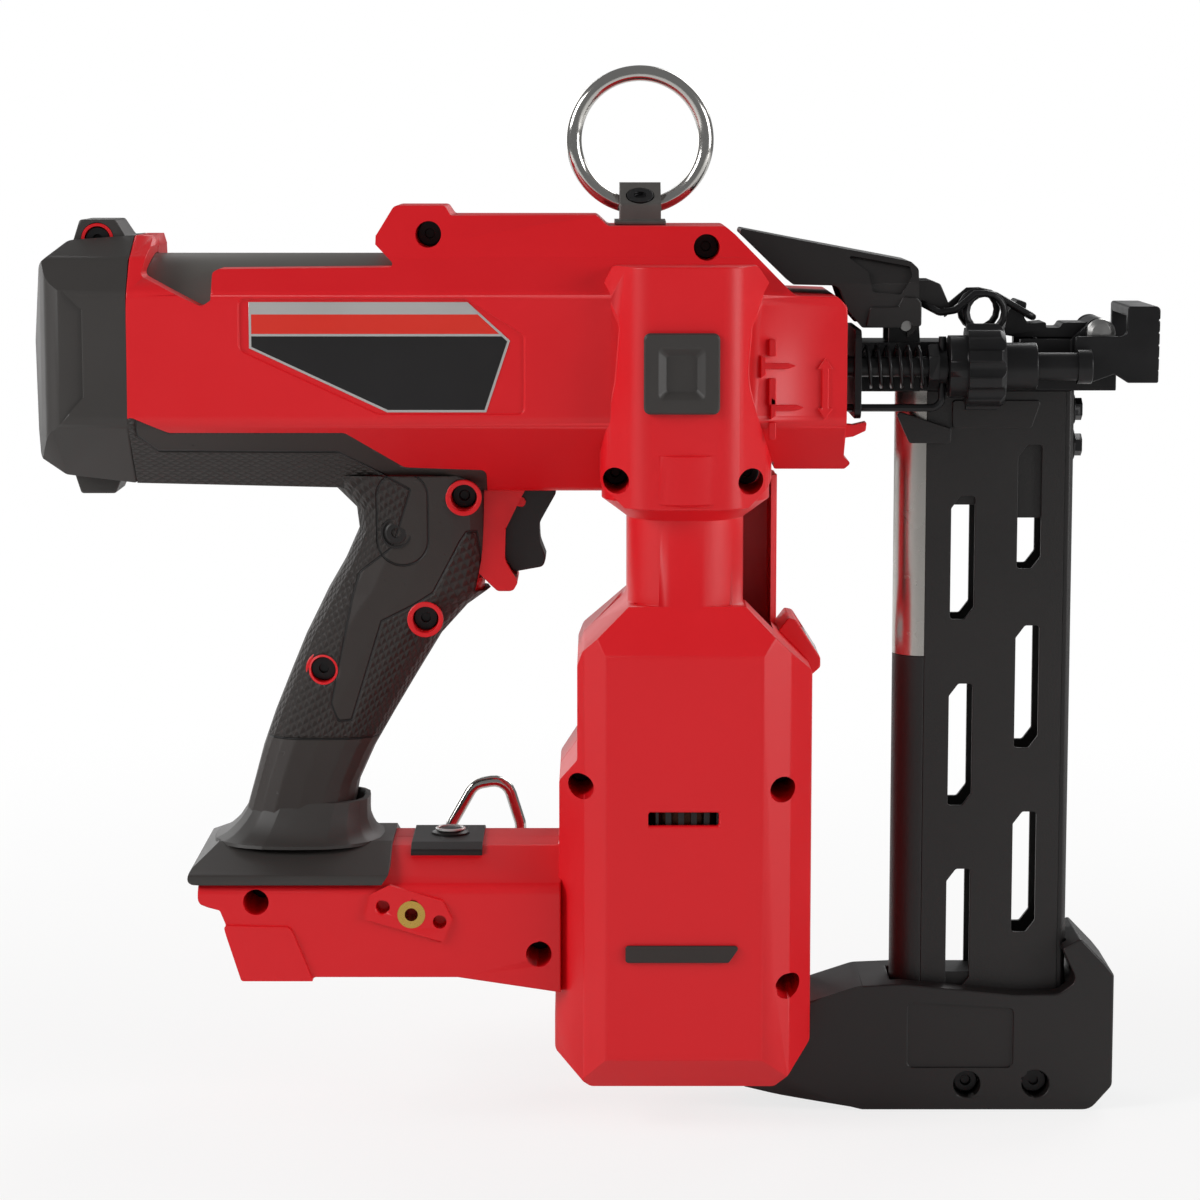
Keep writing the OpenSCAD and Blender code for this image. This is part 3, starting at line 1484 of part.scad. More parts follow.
module magazine_cover() {
  color("#29292b")
    difference() {
      union() {
        box([mag_x + run, -mag_t / 2, mag_low], [mag_front - 3, -mag_t / 2 + plate_t, mag_high]);
        side([[mag_x + 8.2, mag_high - 11.8, 1], [mag_front - 14, mag_high - 11.8, 1],
          [mag_front - 11, mag_high - 3, 1], [mag_x + 8.2, mag_high - 3, 1]],
          -mag_t / 2 - 0.8, -mag_t / 2 + 0.2);
        side([[mag_x - 5.6, mag_high - 16.6, 1], [mag_x + 7.6, mag_high - 16.6, 1],
          [mag_x + 7.8, mag_high - 12, 1], [mag_x - 10.4, mag_high - 6, 1]],
          -mag_t / 2 - 2.4, -mag_t / 2);
      }
      mag_slots();
    }
}

module magazine_rail() {
  color("#1f1f21")
    difference() {
      union() {
        difference() {
          box([mag_x + run, mag_t / 2 - plate_t, mag_low], [mag_front, mag_t / 2, mag_high]);
          mag_slots();
        }
        up([[mag_front - 3, -mag_t / 2 + 0.8, 0], [mag_front - 1.2, -mag_t / 2 + 0.8, 1],
          [mag_front, -mag_t / 2 + 3, 1], [mag_front, mag_t / 2, 0],
          [mag_front - 3, mag_t / 2, 0]], mag_low, mag_high);
        // Block at the top that takes the bolts
        box([mag_front - 9, -mag_t / 2 + plate_t, mag_high - 26], [mag_front - 2, mag_t / 2 - 1, mag_high]);
        half_round(mag_low, mag_low + 110.4);
        // Pin of the ribbon spring, and the foot that ties both skins
        rod_y([mag_x + 30, -5, mag_high - 10], 3.3, 5 + mag_t / 2 - 0.5);
        box([mag_x - guide_r + 0.8, -2.4, mag_low], [mag_x + 6, 2.4, mag_low + 6]);
        box([mag_x + 1, -mag_t / 2 + plate_t, mag_low], [mag_front - 2, mag_t / 2 - 1, mag_low + 6]);
      }
      for (z = bolt_z)
        rod_x([mag_front - 12, 0, z], 2.55, 30);
      side([[knob_x - 3.5, mag_low + 13, 3], [knob_x + 3.5, mag_low + 13, 3],
        [knob_x + 3.5, mag_high - 15, 3], [knob_x - 3.5, mag_high - 15, 3]], 0, 40);
    }
}

// Half-round channel behind the crowns of the staples
module half_round(z0, z1) {
  translate([mag_x, 0, z0])
    difference() {
      cylinder(r = guide_r, h = z1 - z0);
      translate([0, 0, -1])
        cylinder(r = guide_r - 1.5, h = z1 - z0 + 2);
      translate([0, -20, -1])
        cube([40, 40, z1 - z0 + 2]);
    }
}

module crown_guide() {
  color("#cfd2d5")
    half_round(mag_low + 110.6, mag_high);
}

// Black base of the magazine, with its arm to the motor tower
base_side = [[45.6, 8, 2], [56, 5.5, 3], [82, 1, 3], [86, 0, 0], [160, 0, 5], [167, 8, 3],
  [167, 45, 2], [164, 48.7, 2], [156, 57, 1], [150, 53.6, 1], [155, 43, 3], [149, 38.6, 6],
  [135, 38.4, 0], [98, 42, 1], [84, 41.4, 10], [tower_r + 0.2, 36, 1],
  [tower_r + 0.2, 27, 0], [tower_r - 12.2, tower_low - 0.2, 0], [45.6, tower_low - 0.2, 0]];
base_step = [[45, -1, 0], [140.5, -1, 0], [115, 0, 0], [115, 12, 2], [134, 14, 2],
  [138, 18, 2], [138, 60, 0], [160, 60, 0], [160, 70, 0], [45, 70, 0]];
base_screw_at = [[119.6, 8.6], [141.9, 8.6]];
module magazine_base() {
  color("#2d2d2f")
    difference() {
      side(base_side, -base_w / 2, base_w / 2);
      box([mag_x - guide_r - 0.2, -mag_t / 2 - 0.15, mag_low - 0.2],
        [mag_front + 0.2, mag_t / 2 + 0.15, 80]);
      for (q = base_screw_at) {
        rod_y([q[0], -40, q[1]], 4.5, 40 + head_seat);
        rod_y([q[0], head_seat - 1, q[1]], shank_r + run, 19.5);
      }
      // Panel set back in the right face
      side([[100, 14, 2], [134.5, 14, 2], [134.5, 34, 2], [100, 36, 2]],
        -base_w / 2 - 1, -base_w / 2 + 0.8);
    }
}

bolt_z = [mag_high - 6.5, mag_high - 18];
module magazine_screws() {
  color("#3a3a3c") {
    for (q = base_screw_at)
      difference() {
        screw_y(q);
        rod_y([q[0], head_seat - head_h - 1, q[1]], 1.6, 2.6);
      }
    // Bolts along the front edge of the magazine
    for (z = bolt_z)
      translate([mag_front, 0, z])
        rotate([0, 90, 0])
          difference() {
            union() {
              cylinder(r = 4.8, h = 0.9);
              cylinder(r = 3.6, h = 3.3, $fn = 6);
              translate([0, 0, -8])
                cylinder(r = 2.5, h = 9);
            }
            translate([0, 0, 2.4])
              cylinder(r = 1.5, h = 3);
          }
  }
}

pusher_low = mag_high - 41;
module magazine_pusher() {
  color("#58595c")
    union() {
      side([[mag_x + 2, pusher_low + 4.2, 1], [mag_x + 17.6, pusher_low + 4.2, 1],
        [mag_x + 19.4, pusher_low, 1], [mag_front - 10, pusher_low, 1],
        [mag_front - 10, pusher_low + 24, 1], [mag_x + 26, pusher_low + 24, 1],
        [mag_x + 2, pusher_low + 13, 1]], -mag_t / 2 + plate_t + 0.3, mag_t / 2 - plate_t - 0.3);
      box([knob_x - 3, 4, pusher_low + 2], [knob_x + 3, mag_t / 2 + 2, pusher_low + 12]);
      side([[knob_x - 5.4, pusher_low - 1, 3], [knob_x + 5.4, pusher_low - 1, 3],
        [knob_x + 5.4, pusher_low + 15, 3], [knob_x - 5.4, pusher_low + 15, 3]],
        mag_t / 2 + 1, mag_t / 2 + 9);
    }
}

module pusher_spring() {
  color(steel)
    difference() {
      rod_y([mag_x + 30, -4, mag_high - 10], 6.5, 8);
      rod_y([mag_x + 30, -5, mag_high - 10], 3.5, 10);
    }
}

right_housing();
left_housing();
right_grip();
left_grip();
grip_boot();
barrel_saddle();
rear_cap();
housing_screws();
air_sleeve();
vent_screen();
drive_cylinder();
bumper();
nose_collar();
nose_casting();
square_pad();
bar_pad();
light_housing();
light_lens();
motor_stator();
ball_bearings();
gear_case();
electronics_module();
trigger_switch();
battery_terminals();
button_plate();
mount_inserts();
wire_hook();
hook_screw();
ring_bracket();
ring_screw();
magazine_cover();
magazine_rail();
crown_guide();
magazine_base();
magazine_screws();
pusher_spring();
piston();
piston_seal();
driver_blade();
lifter_wheel();
lifter_rollers();
planet_carrier();
planet_gear_1();
planet_gear_2();
planet_gear_3();
motor_rotor();
motor_fan();
trigger();
mode_button();
latch_lever();
latch_wire();
nose_door();
hinge_pins();
contact_yoke();
contact_spring();
rod_nut();
depth_wheel();
contact_tip();
carry_ring();
magazine_pusher();
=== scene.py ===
import math

import bmesh
import bpy
import numpy as np
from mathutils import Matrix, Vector
from mathutils.bvhtree import BVHTree


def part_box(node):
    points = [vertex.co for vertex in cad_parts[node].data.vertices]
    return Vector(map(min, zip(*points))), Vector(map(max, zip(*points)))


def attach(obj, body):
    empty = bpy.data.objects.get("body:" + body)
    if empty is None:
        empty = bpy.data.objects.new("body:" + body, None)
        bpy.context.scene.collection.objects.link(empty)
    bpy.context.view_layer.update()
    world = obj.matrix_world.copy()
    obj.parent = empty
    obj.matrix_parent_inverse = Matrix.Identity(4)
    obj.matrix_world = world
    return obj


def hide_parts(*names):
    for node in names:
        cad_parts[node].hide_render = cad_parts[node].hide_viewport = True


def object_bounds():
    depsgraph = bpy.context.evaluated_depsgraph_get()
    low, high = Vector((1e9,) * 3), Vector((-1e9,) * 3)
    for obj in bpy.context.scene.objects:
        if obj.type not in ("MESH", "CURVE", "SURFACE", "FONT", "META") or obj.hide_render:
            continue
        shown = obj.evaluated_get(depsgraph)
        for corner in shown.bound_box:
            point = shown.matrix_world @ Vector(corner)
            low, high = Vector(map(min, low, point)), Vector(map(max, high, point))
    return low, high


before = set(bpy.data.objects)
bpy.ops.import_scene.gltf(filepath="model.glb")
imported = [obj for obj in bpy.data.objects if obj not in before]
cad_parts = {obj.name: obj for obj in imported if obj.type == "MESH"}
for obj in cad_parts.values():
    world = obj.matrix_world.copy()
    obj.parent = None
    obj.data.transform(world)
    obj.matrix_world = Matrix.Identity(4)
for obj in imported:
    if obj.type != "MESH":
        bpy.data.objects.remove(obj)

MM = 0.001
cad_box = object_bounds()
scene = bpy.context.scene
scene.view_settings.view_transform = "Standard"


# The studio. A white paper sweep under broad soft lamps, seen level with the
# side of the tool and a little from above, through a long lens. The sweep
# shows white to the camera and keeps the faint shadow under the tool.
def linear(colour):
    """An sRGB hex colour as the linear RGBA that a shader takes."""
    parts = [int(colour[i:i + 2], 16) / 255 for i in (0, 2, 4)]
    return [c / 12.92 if c <= 0.04045 else ((c + 0.055) / 1.055) ** 2.4 for c in parts] + [1]


def add_node(tree, kind, inputs=(), **settings):
    """A shader node with its settings, and its sockets set to values or linked."""
    made = tree.nodes.new(kind)
    for key, value in settings.items():
        setattr(made, key, value)
    for key, value in dict(inputs).items():
        if isinstance(value, bpy.types.NodeSocket):
            tree.links.new(value, made.inputs[key])
        else:
            made.inputs[key].default_value = value
    return made


def seen_directly(tree):
    """1 where the camera or a lens looks, and 0 for light on the object."""
    path = add_node(tree, "ShaderNodeLightPath")
    return add_node(tree, "ShaderNodeMath", operation="MAXIMUM", inputs={
        0: path.outputs["Is Camera Ray"], 1: path.outputs["Is Transmission Ray"]}).outputs[0]


white_sweep = bpy.data.materials.new("matt_white_paper_sweep")
white_sweep.use_nodes = True
tree = white_sweep.node_tree
tree.nodes.clear()
place = add_node(tree, "ShaderNodeTexCoord").outputs["Object"]
reach = add_node(tree, "ShaderNodeVectorMath", operation="LENGTH", inputs={0: place})
lift = add_node(tree, "ShaderNodeMapRange", interpolation_type="SMOOTHSTEP", inputs={
    "Value": reach.outputs["Value"], "From Min": 0.2, "From Max": 0.8,
    "To Min": 0.78, "To Max": 1})
share = add_node(tree, "ShaderNodeMath", operation="MULTIPLY",
                 inputs={0: seen_directly(tree), 1: lift.outputs["Result"]})
paper = add_node(tree, "ShaderNodeBsdfDiffuse", inputs={"Color": linear("f6f6f5")})
lit = add_node(tree, "ShaderNodeEmission", inputs={"Color": linear("ffffff"), "Strength": 1})
mixed = add_node(tree, "ShaderNodeMixShader",
                 inputs={0: share.outputs[0], 1: paper.outputs[0], 2: lit.outputs[0]})
add_node(tree, "ShaderNodeOutputMaterial", inputs={"Surface": mixed.outputs[0]})

bpy.ops.mesh.primitive_plane_add(size=30, location=(0, 0, cad_box[0].z - 0.0002))
floor = bpy.context.object
floor.name = "floor"
floor.data.materials.append(white_sweep)

world = bpy.data.worlds.new("studio")
scene.world = world
world.use_nodes = True
tree = world.node_tree
tree.nodes.clear()
room = add_node(tree, "ShaderNodeBackground",
                inputs={"Color": linear("fafbfc"), "Strength": 0.22})
backdrop = add_node(tree, "ShaderNodeBackground", inputs={"Color": (1, 1, 1, 1), "Strength": 1})
mixed = add_node(tree, "ShaderNodeMixShader", inputs={
    0: seen_directly(tree), 1: room.outputs[0], 2: backdrop.outputs[0]})
add_node(tree, "ShaderNodeOutputWorld", inputs={"Surface": mixed.outputs[0]})

for name, watts, size, place in (
        ("key_softbox", 18, 0.8, (-1.5, -0.7, 1.0)),
        ("front_softbox", 15, 0.9, (1.6, -0.7, 0.6)),
        ("rim_softbox", 7, 0.8, (0.7, 1.1, 1.0)),
        ("back_softbox", 6, 1.0, (-0.8, 1.2, 0.6))):
    lamp = bpy.data.lights.new(name, "AREA")
    lamp.energy, lamp.size = watts, size
    holder = bpy.data.objects.new(name, lamp)
    holder.location = place
    holder.rotation_euler = (Vector((0, 0, 0.17)) - Vector(place)).to_track_quat(
        "-Z", "Y").to_euler()
    scene.collection.objects.link(holder)

lens = bpy.data.cameras.new("side_camera")
lens.sensor_fit = "HORIZONTAL"
lens.angle = math.radians(19.25)
camera = bpy.data.objects.new("side_camera", lens)
camera.location = (0, -1.1402, 0.3157)
camera.rotation_euler = (math.radians(90 - 7.5), 0, 0)
scene.collection.objects.link(camera)
scene.camera = camera


# The two halves of the casing. They are injection moulded in glass-filled
# nylon, solid red all through, from a finely spark-eroded mould: a satin,
# slightly grainy skin, and every arris rounded by the mould.
def plain_finish(name, colour, second, rough, metallic=0.0, patch=40, **sockets):
    """A Principled material whose colour and gloss drift softly between two close
    tones. patch is the size of a drift in millimetres."""
    finish = bpy.data.materials.new(name)
    finish.use_nodes = True
    tree = finish.node_tree
    tree.nodes.clear()
    place = add_node(tree, "ShaderNodeTexCoord").outputs["Object"]
    drift = add_node(tree, "ShaderNodeTexNoise", inputs={
        "Vector": place, "Scale": 1000 / patch, "Detail": 3, "Roughness": 0.6})
    tone = add_node(tree, "ShaderNodeMix", data_type="RGBA", inputs={
        "Factor": drift.outputs["Fac"], "A": linear(colour), "B": linear(second)})
    shine = add_node(tree, "ShaderNodeMapRange", inputs={
        "Value": drift.outputs["Fac"], "From Min": 0.3, "From Max": 0.7,
        "To Min": rough - 0.04, "To Max": rough + 0.04})
    shader = add_node(tree, "ShaderNodeBsdfPrincipled", inputs={
        "Base Color": tone.outputs["Result"], "Roughness": shine.outputs["Result"],
        "Metallic": metallic, **sockets})
    add_node(tree, "ShaderNodeOutputMaterial", inputs={"Surface": shader.outputs[0]})
    return finish, tree, place, shader


def grained(made, grain, depth, height=None):
    """Gives a finish its grain: grain is its spacing and depth its relief, in mm."""
    finish, tree, place, shader = made
    if height is None:
        height = add_node(tree, "ShaderNodeTexNoise", inputs={
            "Vector": place, "Scale": 1000 / grain, "Detail": 2,
            "Roughness": 0.55}).outputs["Fac"]
    relief = add_node(tree, "ShaderNodeBump", inputs={
        "Strength": 1, "Distance": depth * MM, "Height": height})
    tree.links.new(relief.outputs["Normal"], shader.inputs["Normal"])
    return finish


def put_out(work, name, body, finish, replaced=None, smooth=40):
    """Turns a bmesh into a finished piece that rides with a body."""
    mesh = bpy.data.meshes.new(name)
    work.to_mesh(mesh)
    work.free()
    mesh.shade_smooth()
    mesh.set_sharp_from_angle(angle=math.radians(smooth))
    mesh.materials.append(finish)
    made = bpy.data.objects.new(name, mesh)
    scene.collection.objects.link(made)
    made.modifiers.new("even_normals", "WEIGHTED_NORMAL").keep_sharp = True
    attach(made, body)
    if replaced:
        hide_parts(replaced)
    return made


def merged(node):
    """A CAD node's surface as one connected mesh."""
    work = bmesh.new()
    work.from_mesh(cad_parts[node].data)
    bmesh.ops.remove_doubles(work, verts=work.verts, dist=0.002 * MM)
    return work


def folded_over(work):
    """Corners of the triangles that a rounding turned inside out."""
    found = []
    for a, b, c in work.calc_loop_triangles():
        turn = (b.vert.co - a.vert.co).cross(c.vert.co - a.vert.co)
        if turn.length > 2e-9 and turn.normalized().dot(a.face.normal) < 0:
            found += [a.vert.co.copy(), b.vert.co.copy(), c.vert.co.copy()]
    return found


def free_width(face, edges):
    """How far each given edge of a face can move into it, in the face's own plane."""
    normal = face.normal
    first, second = face.loops[0].edge.verts
    ahead = second.co - first.co
    ahead = (ahead - normal * ahead.dot(normal)).normalized()
    aside = normal.cross(ahead)
    starts = np.array([(l.vert.co.dot(ahead), l.vert.co.dot(aside)) for l in face.loops])
    ends = np.roll(starts, -1, axis=0)
    run = ends - starts
    room = {}
    for n, loop in enumerate(face.loops):
        if loop.edge not in edges:
            continue
        length = np.hypot(*run[n])
        inward = np.array((-run[n][1], run[n][0])) / max(length, 1e-12)
        best = 1.0
        for t in (0.08, 0.5, 0.92):
            gap = starts - (starts[n] + run[n] * t)
            turn = inward[0] * run[:, 1] - inward[1] * run[:, 0]
            turn = np.where(abs(turn) < 1e-12, 1e-12, turn)
            far = (gap[:, 0] * run[:, 1] - gap[:, 1] * run[:, 0]) / turn
            where = (gap[:, 0] * inward[1] - gap[:, 1] * inward[0]) / turn
            hit = (far > 1e-7) & (where > -1e-6) & (where < 1 + 1e-6)
            hit[n] = False
            if hit.any():
                best = min(best, far[hit].min())
        room[loop.edge] = best
    return room


# A rounding takes at most this share of a narrow face, and one that would be
# thinner than the least width is left sharp. Where it still folds over, the
# edges near the fold are made thinner, or sharp after some tries.
face_share, least_width, fold_cell = 0.42, 0.02 * MM, 1.5 * MM
most_tries, thinning_tries = 5, 2


def rounded_copy(name, node, body, finish, arris=0.5, crease=28, rings=2,
                 smooth=40):
    """A copy of a CAD piece with its sharp edges rounded to arris mm, or less where a
    face is narrow, which stands for the CAD piece."""
    plain = merged(node)
    bmesh.ops.dissolve_limit(plain, angle_limit=math.radians(0.3), verts=plain.verts,
                             edges=plain.edges, use_dissolve_boundaries=False)
    weights = plain.edges.layers.float.new("bevel_weight_edge")
    sharp = {e for e in plain.edges if len(e.link_faces) == 2
             and e.calc_face_angle(0) > math.radians(crease)} if arris else set()
    width = {e: arris * MM for e in sharp}
    for face in plain.faces:
        mine = [e for e in face.edges if e in sharp]
        if mine:
            for edge, room in free_width(face, set(mine)).items():
                width[edge] = min(width[edge], face_share * room)
    # A chain of short edges keeps one width, the least of its neighbours
    for step in range(2):
        least = {v: min((width[e] for e in v.link_edges if e in sharp), default=1)
                 for e in sharp for v in e.verts}
        width = {e: min(width[e], max(least[v] for v in e.verts)) for e in sharp}
    for edge in sharp:
        edge[weights] = width[edge] / (arris * MM) if width[edge] > least_width else 0
    mesh = bpy.data.meshes.new(name)
    for attempt in range(most_tries):
        plain.to_mesh(mesh)
        trial = bpy.data.objects.new(name + "_trial", mesh)
        scene.collection.objects.link(trial)
        if arris:
            rounding = trial.modifiers.new("arris", "BEVEL")
            rounding.limit_method, rounding.width = "WEIGHT", arris * MM
            rounding.segments, rounding.profile = rings, 0.5
            rounding.use_clamp_overlap, rounding.loop_slide = False, True
        seen = trial.evaluated_get(bpy.context.evaluated_depsgraph_get())
        work = bmesh.new()
        work.from_mesh(seen.to_mesh())
        seen.to_mesh_clear()
        bpy.data.objects.remove(trial)
        work.normal_update()
        bad = folded_over(work)
        if not bad or not arris or attempt == most_tries - 1:
            break
        near = {tuple(round(c / fold_cell) for c in p) for p in bad}
        for edge in sharp:
            if any(tuple(round(c / fold_cell) for c in v.co) in near for v in edge.verts):
                edge[weights] = edge[weights] * 0.3 if attempt < thinning_tries else 0
        work.free()
    plain.free()
    bpy.data.meshes.remove(mesh)
    return put_out(work, name, body, finish, node, smooth)


red_nylon = grained(plain_finish("moulded_red_glass_filled_nylon", "df0a17", "e4101d", 0.42),
                    0.45, 0.012)
for half in ("right", "left"):
    rounded_copy(half + "_casing", half + "_housing", "tool", red_nylon, 0.7, 32)
rounded_copy("work_light_housing", "light_housing", "tool", red_nylon, 0.4)


# Raised marks on the red face beside the nose, moulded with the casing: two
# plain nails at two depths and a double arrow, which say that the wheel
# sets how deep a staple is driven.
def outline_prism(outline, near, far):
    """A flat piece with an outline of (x, z) in mm, between two y in mm."""
    work = bmesh.new()
    corners = [work.verts.new((x * MM, near * MM, z * MM)) for x, z in outline]
    face = work.faces.new(corners)
    pushed = bmesh.ops.extrude_face_region(work, geom=[face])
    bmesh.ops.translate(work, vec=(0, (far - near) * MM, 0), verts=[
        v for v in pushed["geom"] if isinstance(v, bmesh.types.BMVert)])
    bmesh.ops.recalc_face_normals(work, faces=work.faces)
    return work


def arrised(work, arris, rings=2, angle=30):
    """Rounds the sharp edges of a new piece to arris mm."""
    sharp = [e for e in work.edges if e.calc_face_angle(0) > math.radians(angle)]
    bmesh.ops.bevel(work, geom=sharp, offset=arris * MM, offset_type="OFFSET", segments=rings,
                    profile=0.5, affect="EDGES", material=-1, clamp_overlap=True)
    return work


side_y = -38.5
marks = bmesh.new()
for outline in (
        [(52.6, 247.2), (54.9, 247.2), (54.9, 252.6), (52.6, 252.6)],
        [(50, 240.3), (51.6, 241.4), (51.6, 243.3), (58.6, 243.3), (61.2, 244.2), (58.6, 245.1),
         (51.6, 245.1), (51.6, 246.6), (50, 247.6)],
        [(52.6, 232), (54.9, 232), (54.9, 240.4), (52.6, 240.4)],
        [(53.2, 227.4), (54.8, 228.6), (54.8, 230.3), (61.2, 230.3), (63.8, 231.2), (61.2, 232.1),
         (54.8, 232.1), (54.8, 233.6), (53.2, 234.6)],
        [(52.6, 221.2), (54.9, 221.2), (54.9, 226.6), (52.6, 226.6)],
        [(70.2, 227.4), (72.6, 231), (71.2, 231), (71.2, 243.2), (72.6, 243.2), (70.2, 246.8),
         (67.8, 243.2), (69.2, 243.2), (69.2, 231), (67.8, 231)]):
    one = arrised(outline_prism(outline, side_y - 0.9, side_y + 0.3), 0.25, 1)
    mesh = bpy.data.meshes.new("mark")
    one.to_mesh(mesh)
    one.free()
    marks.from_mesh(mesh)
    bpy.data.meshes.remove(mesh)
put_out(marks, "raised_depth_marks", "tool", red_nylon)


# The name plate. A thin foil of satin silver with a red band and a black
# field printed on it, stuck in its shallow recess. It is left blank.
silver_foil = grained(plain_finish("satin_silver_polyester_foil", "c9c8c6", "d2d1cf", 0.32,
                                   metallic=0.5), 0.3, 0.003)
red_print = grained(plain_finish("red_screen_print", "dd2b1c", "e03324", 0.38), 0.3, 0.002)
black_print = grained(plain_finish("black_screen_print", "161415", "1b191a", 0.34), 0.3, 0.002)
plate_y = -37.7
for name, finish, outline, proud in (
        ("name_plate", silver_foil, [(-109.3, 264), (-41.2, 264), (-28, 252), (-35.5, 229.6),
                                     (-66.4, 229.6), (-109.3, 249.6)], 0.2),
        ("name_plate_band", red_print, [(-108.6, 260.2), (-38, 260.2), (-31.2, 254),
                                        (-108.6, 254)], 0.22),
        ("name_plate_field", black_print, [(-108.6, 253.4), (-30.6, 253.4), (-28.8, 251.8),
                                           (-36, 230.3), (-66.2, 230.3), (-108.6, 250)], 0.22)):
    put_out(arrised(outline_prism(outline, plate_y - proud, plate_y + 0.1), 0.08, 1), name,
            "tool", finish)


# The soft grip. An elastomer is moulded over the nylon: matt, charcoal, with
# overlapping scales where the hand closes round it and a fine grain where it
# is smooth. Thin grooves part the two.
def polygon_distance(p, corners):
    """Signed distance in mm from a point (x, z) to a closed outline, less than 0 inside."""
    best, inside = 1e9, False
    for (x0, z0), (x1, z1) in zip(corners, corners[1:] + corners[:1]):
        dx, dz = x1 - x0, z1 - z0
        t = max(0, min(1, ((p[0] - x0) * dx + (p[1] - z0) * dz) / (dx * dx + dz * dz)))
        best = min(best, math.hypot(p[0] - x0 - t * dx, p[1] - z0 - t * dz))
        if (z0 > p[1]) != (z1 > p[1]) and p[0] < x0 + (p[1] - z0) / dz * dx:
            inside = not inside
    return -best if inside else best


smooth_panel = [(-145, 222), (-139, 216.8), (-82.5, 216.4), (-60.3, 203.8), (-66.1, 185.1),
                (-77, 176.7), (-79.3, 168.9), (-86.4, 133.9), (-84.2, 128.4), (-79.9, 128.8),
                (-70, 161), (-60.1, 166), (-53.5, 170.1), (-44.6, 186.9), (-42.6, 189.8),
                (-39.5, 189.8), (-36.9, 172.8), (-20, 172), (-20, 240), (-145, 240)]
collar_seam_z = 122.6
foot_axis, top_axis = Vector((-98, 0, 76)), Vector((-58, 0, 205))


def scale_grip(made):
    """Scales 2.3 mm wide and 3.4 mm long, that overlap towards the foot, with the grooves
    that part them from the smooth panel. They stand 0.75 mm proud in the bump alone, and
    painted shade darkens their hollows and the grooves."""
    finish, tree, place, shader = made
    along = add_node(tree, "ShaderNodeAttribute", attribute_name="along").outputs["Fac"]
    across = add_node(tree, "ShaderNodeAttribute", attribute_name="across").outputs["Fac"]
    border = add_node(tree, "ShaderNodeAttribute", attribute_name="border").outputs["Fac"]
    plug = add_node(tree, "ShaderNodeAttribute", attribute_name="plug").outputs["Fac"]
    a = add_node(tree, "ShaderNodeMath", operation="DIVIDE", inputs={0: along, 1: 3.4})
    b = add_node(tree, "ShaderNodeMath", operation="DIVIDE", inputs={0: across, 1: 2.3})
    corners = []
    for operation in ("ADD", "SUBTRACT"):
        mix = add_node(tree, "ShaderNodeMath", operation=operation,
                       inputs={0: a.outputs[0], 1: b.outputs[0]})
        corners.append(add_node(tree, "ShaderNodeMath", operation="FRACT",
                                inputs={0: mix.outputs[0]}).outputs[0])
    steep = add_node(tree, "ShaderNodeMath", operation="MAXIMUM",
                     inputs={0: corners[0], 1: corners[1]})
    scales = add_node(tree, "ShaderNodeMapRange", interpolation_type="SMOOTHSTEP", inputs={
        "Value": steep.outputs[0], "From Min": 0.2, "From Max": 1, "To Min": 1, "To Max": 0})
    zone = add_node(tree, "ShaderNodeMapRange", inputs={
        "Value": border, "From Min": 0.5, "From Max": 0.9, "To Min": 0, "To Max": 1})
    zoned_scale_relief = add_node(tree, "ShaderNodeMath", operation="MULTIPLY",
                    inputs={0: scales.outputs["Result"], 1: zone.outputs["Result"]})
    grain = add_node(tree, "ShaderNodeTexNoise", inputs={
        "Vector": place, "Scale": 2500, "Detail": 1})
    fine = add_node(tree, "ShaderNodeMath", operation="MULTIPLY_ADD", inputs={
        0: grain.outputs["Fac"], 1: 0.04, 2: zoned_scale_relief.outputs[0]})
    height = fine.outputs[0]
    for line in (border, plug):
        near = add_node(tree, "ShaderNodeMath", operation="ABSOLUTE", inputs={0: line})
        groove = add_node(tree, "ShaderNodeMapRange", interpolation_type="SMOOTHSTEP", inputs={
            "Value": near.outputs[0], "From Min": 0.1, "From Max": 0.45,
            "To Min": -2.2, "To Max": 0})
        height = add_node(tree, "ShaderNodeMath", operation="ADD",
                          inputs={0: height, 1: groove.outputs["Result"]}).outputs[0]
    # Painted shade: the low parts between the scales get a darker base colour.
    painted_hollow_shade = add_node(tree, "ShaderNodeMapRange", inputs={
        "Value": height, "From Min": -0.4, "From Max": 0.7, "To Min": 0.32, "To Max": 1})
    painted_shade_in_scale_zone = add_node(tree, "ShaderNodeMapRange", inputs={
        "Value": zone.outputs["Result"], "To Min": 1, "To Max": painted_hollow_shade.outputs["Result"]})
    # Painted shade in the grooves too, where the height drops below the surface.
    painted_hollow_and_groove_shade = add_node(tree, "ShaderNodeMath", operation="MINIMUM", inputs={
        0: painted_shade_in_scale_zone.outputs["Result"], 1: add_node(tree, "ShaderNodeMapRange", inputs={
            "Value": height, "From Min": -1.6, "From Max": -0.1}).outputs["Result"]})
    tone = shader.inputs["Base Color"].links[0].from_socket
    # The painted shade mixes the base colour towards near-black 0b0908.
    painted_shade_tone = add_node(tree, "ShaderNodeMix", data_type="RGBA", inputs={
        "Factor": painted_hollow_and_groove_shade.outputs[0], "A": linear("0b0908"), "B": tone})
    tree.links.new(painted_shade_tone.outputs["Result"], shader.inputs["Base Color"])
    return grained(made, 0, 0.75, height)


charcoal = ("2a2320", "352e2b")
elastomer = grained(plain_finish("overmoulded_charcoal_elastomer", *charcoal, 0.58), 0.35, 0.012)
boot_elastomer = grained(plain_finish("moulded_charcoal_elastomer", "34312f", "3b3836", 0.5),
                         0.35, 0.012)
scaled_elastomer = scale_grip(plain_finish("scaled_charcoal_elastomer_painted_shade", *charcoal, 0.55))


longest_edge, most_faces = 1.5 * MM, 60000
barrel_z, barrel_skin_r, handle_skin_r = 243, 37, 17
plug_x, plug_z, plug_r, plug_half = -63, 194.3, 8.2, 7


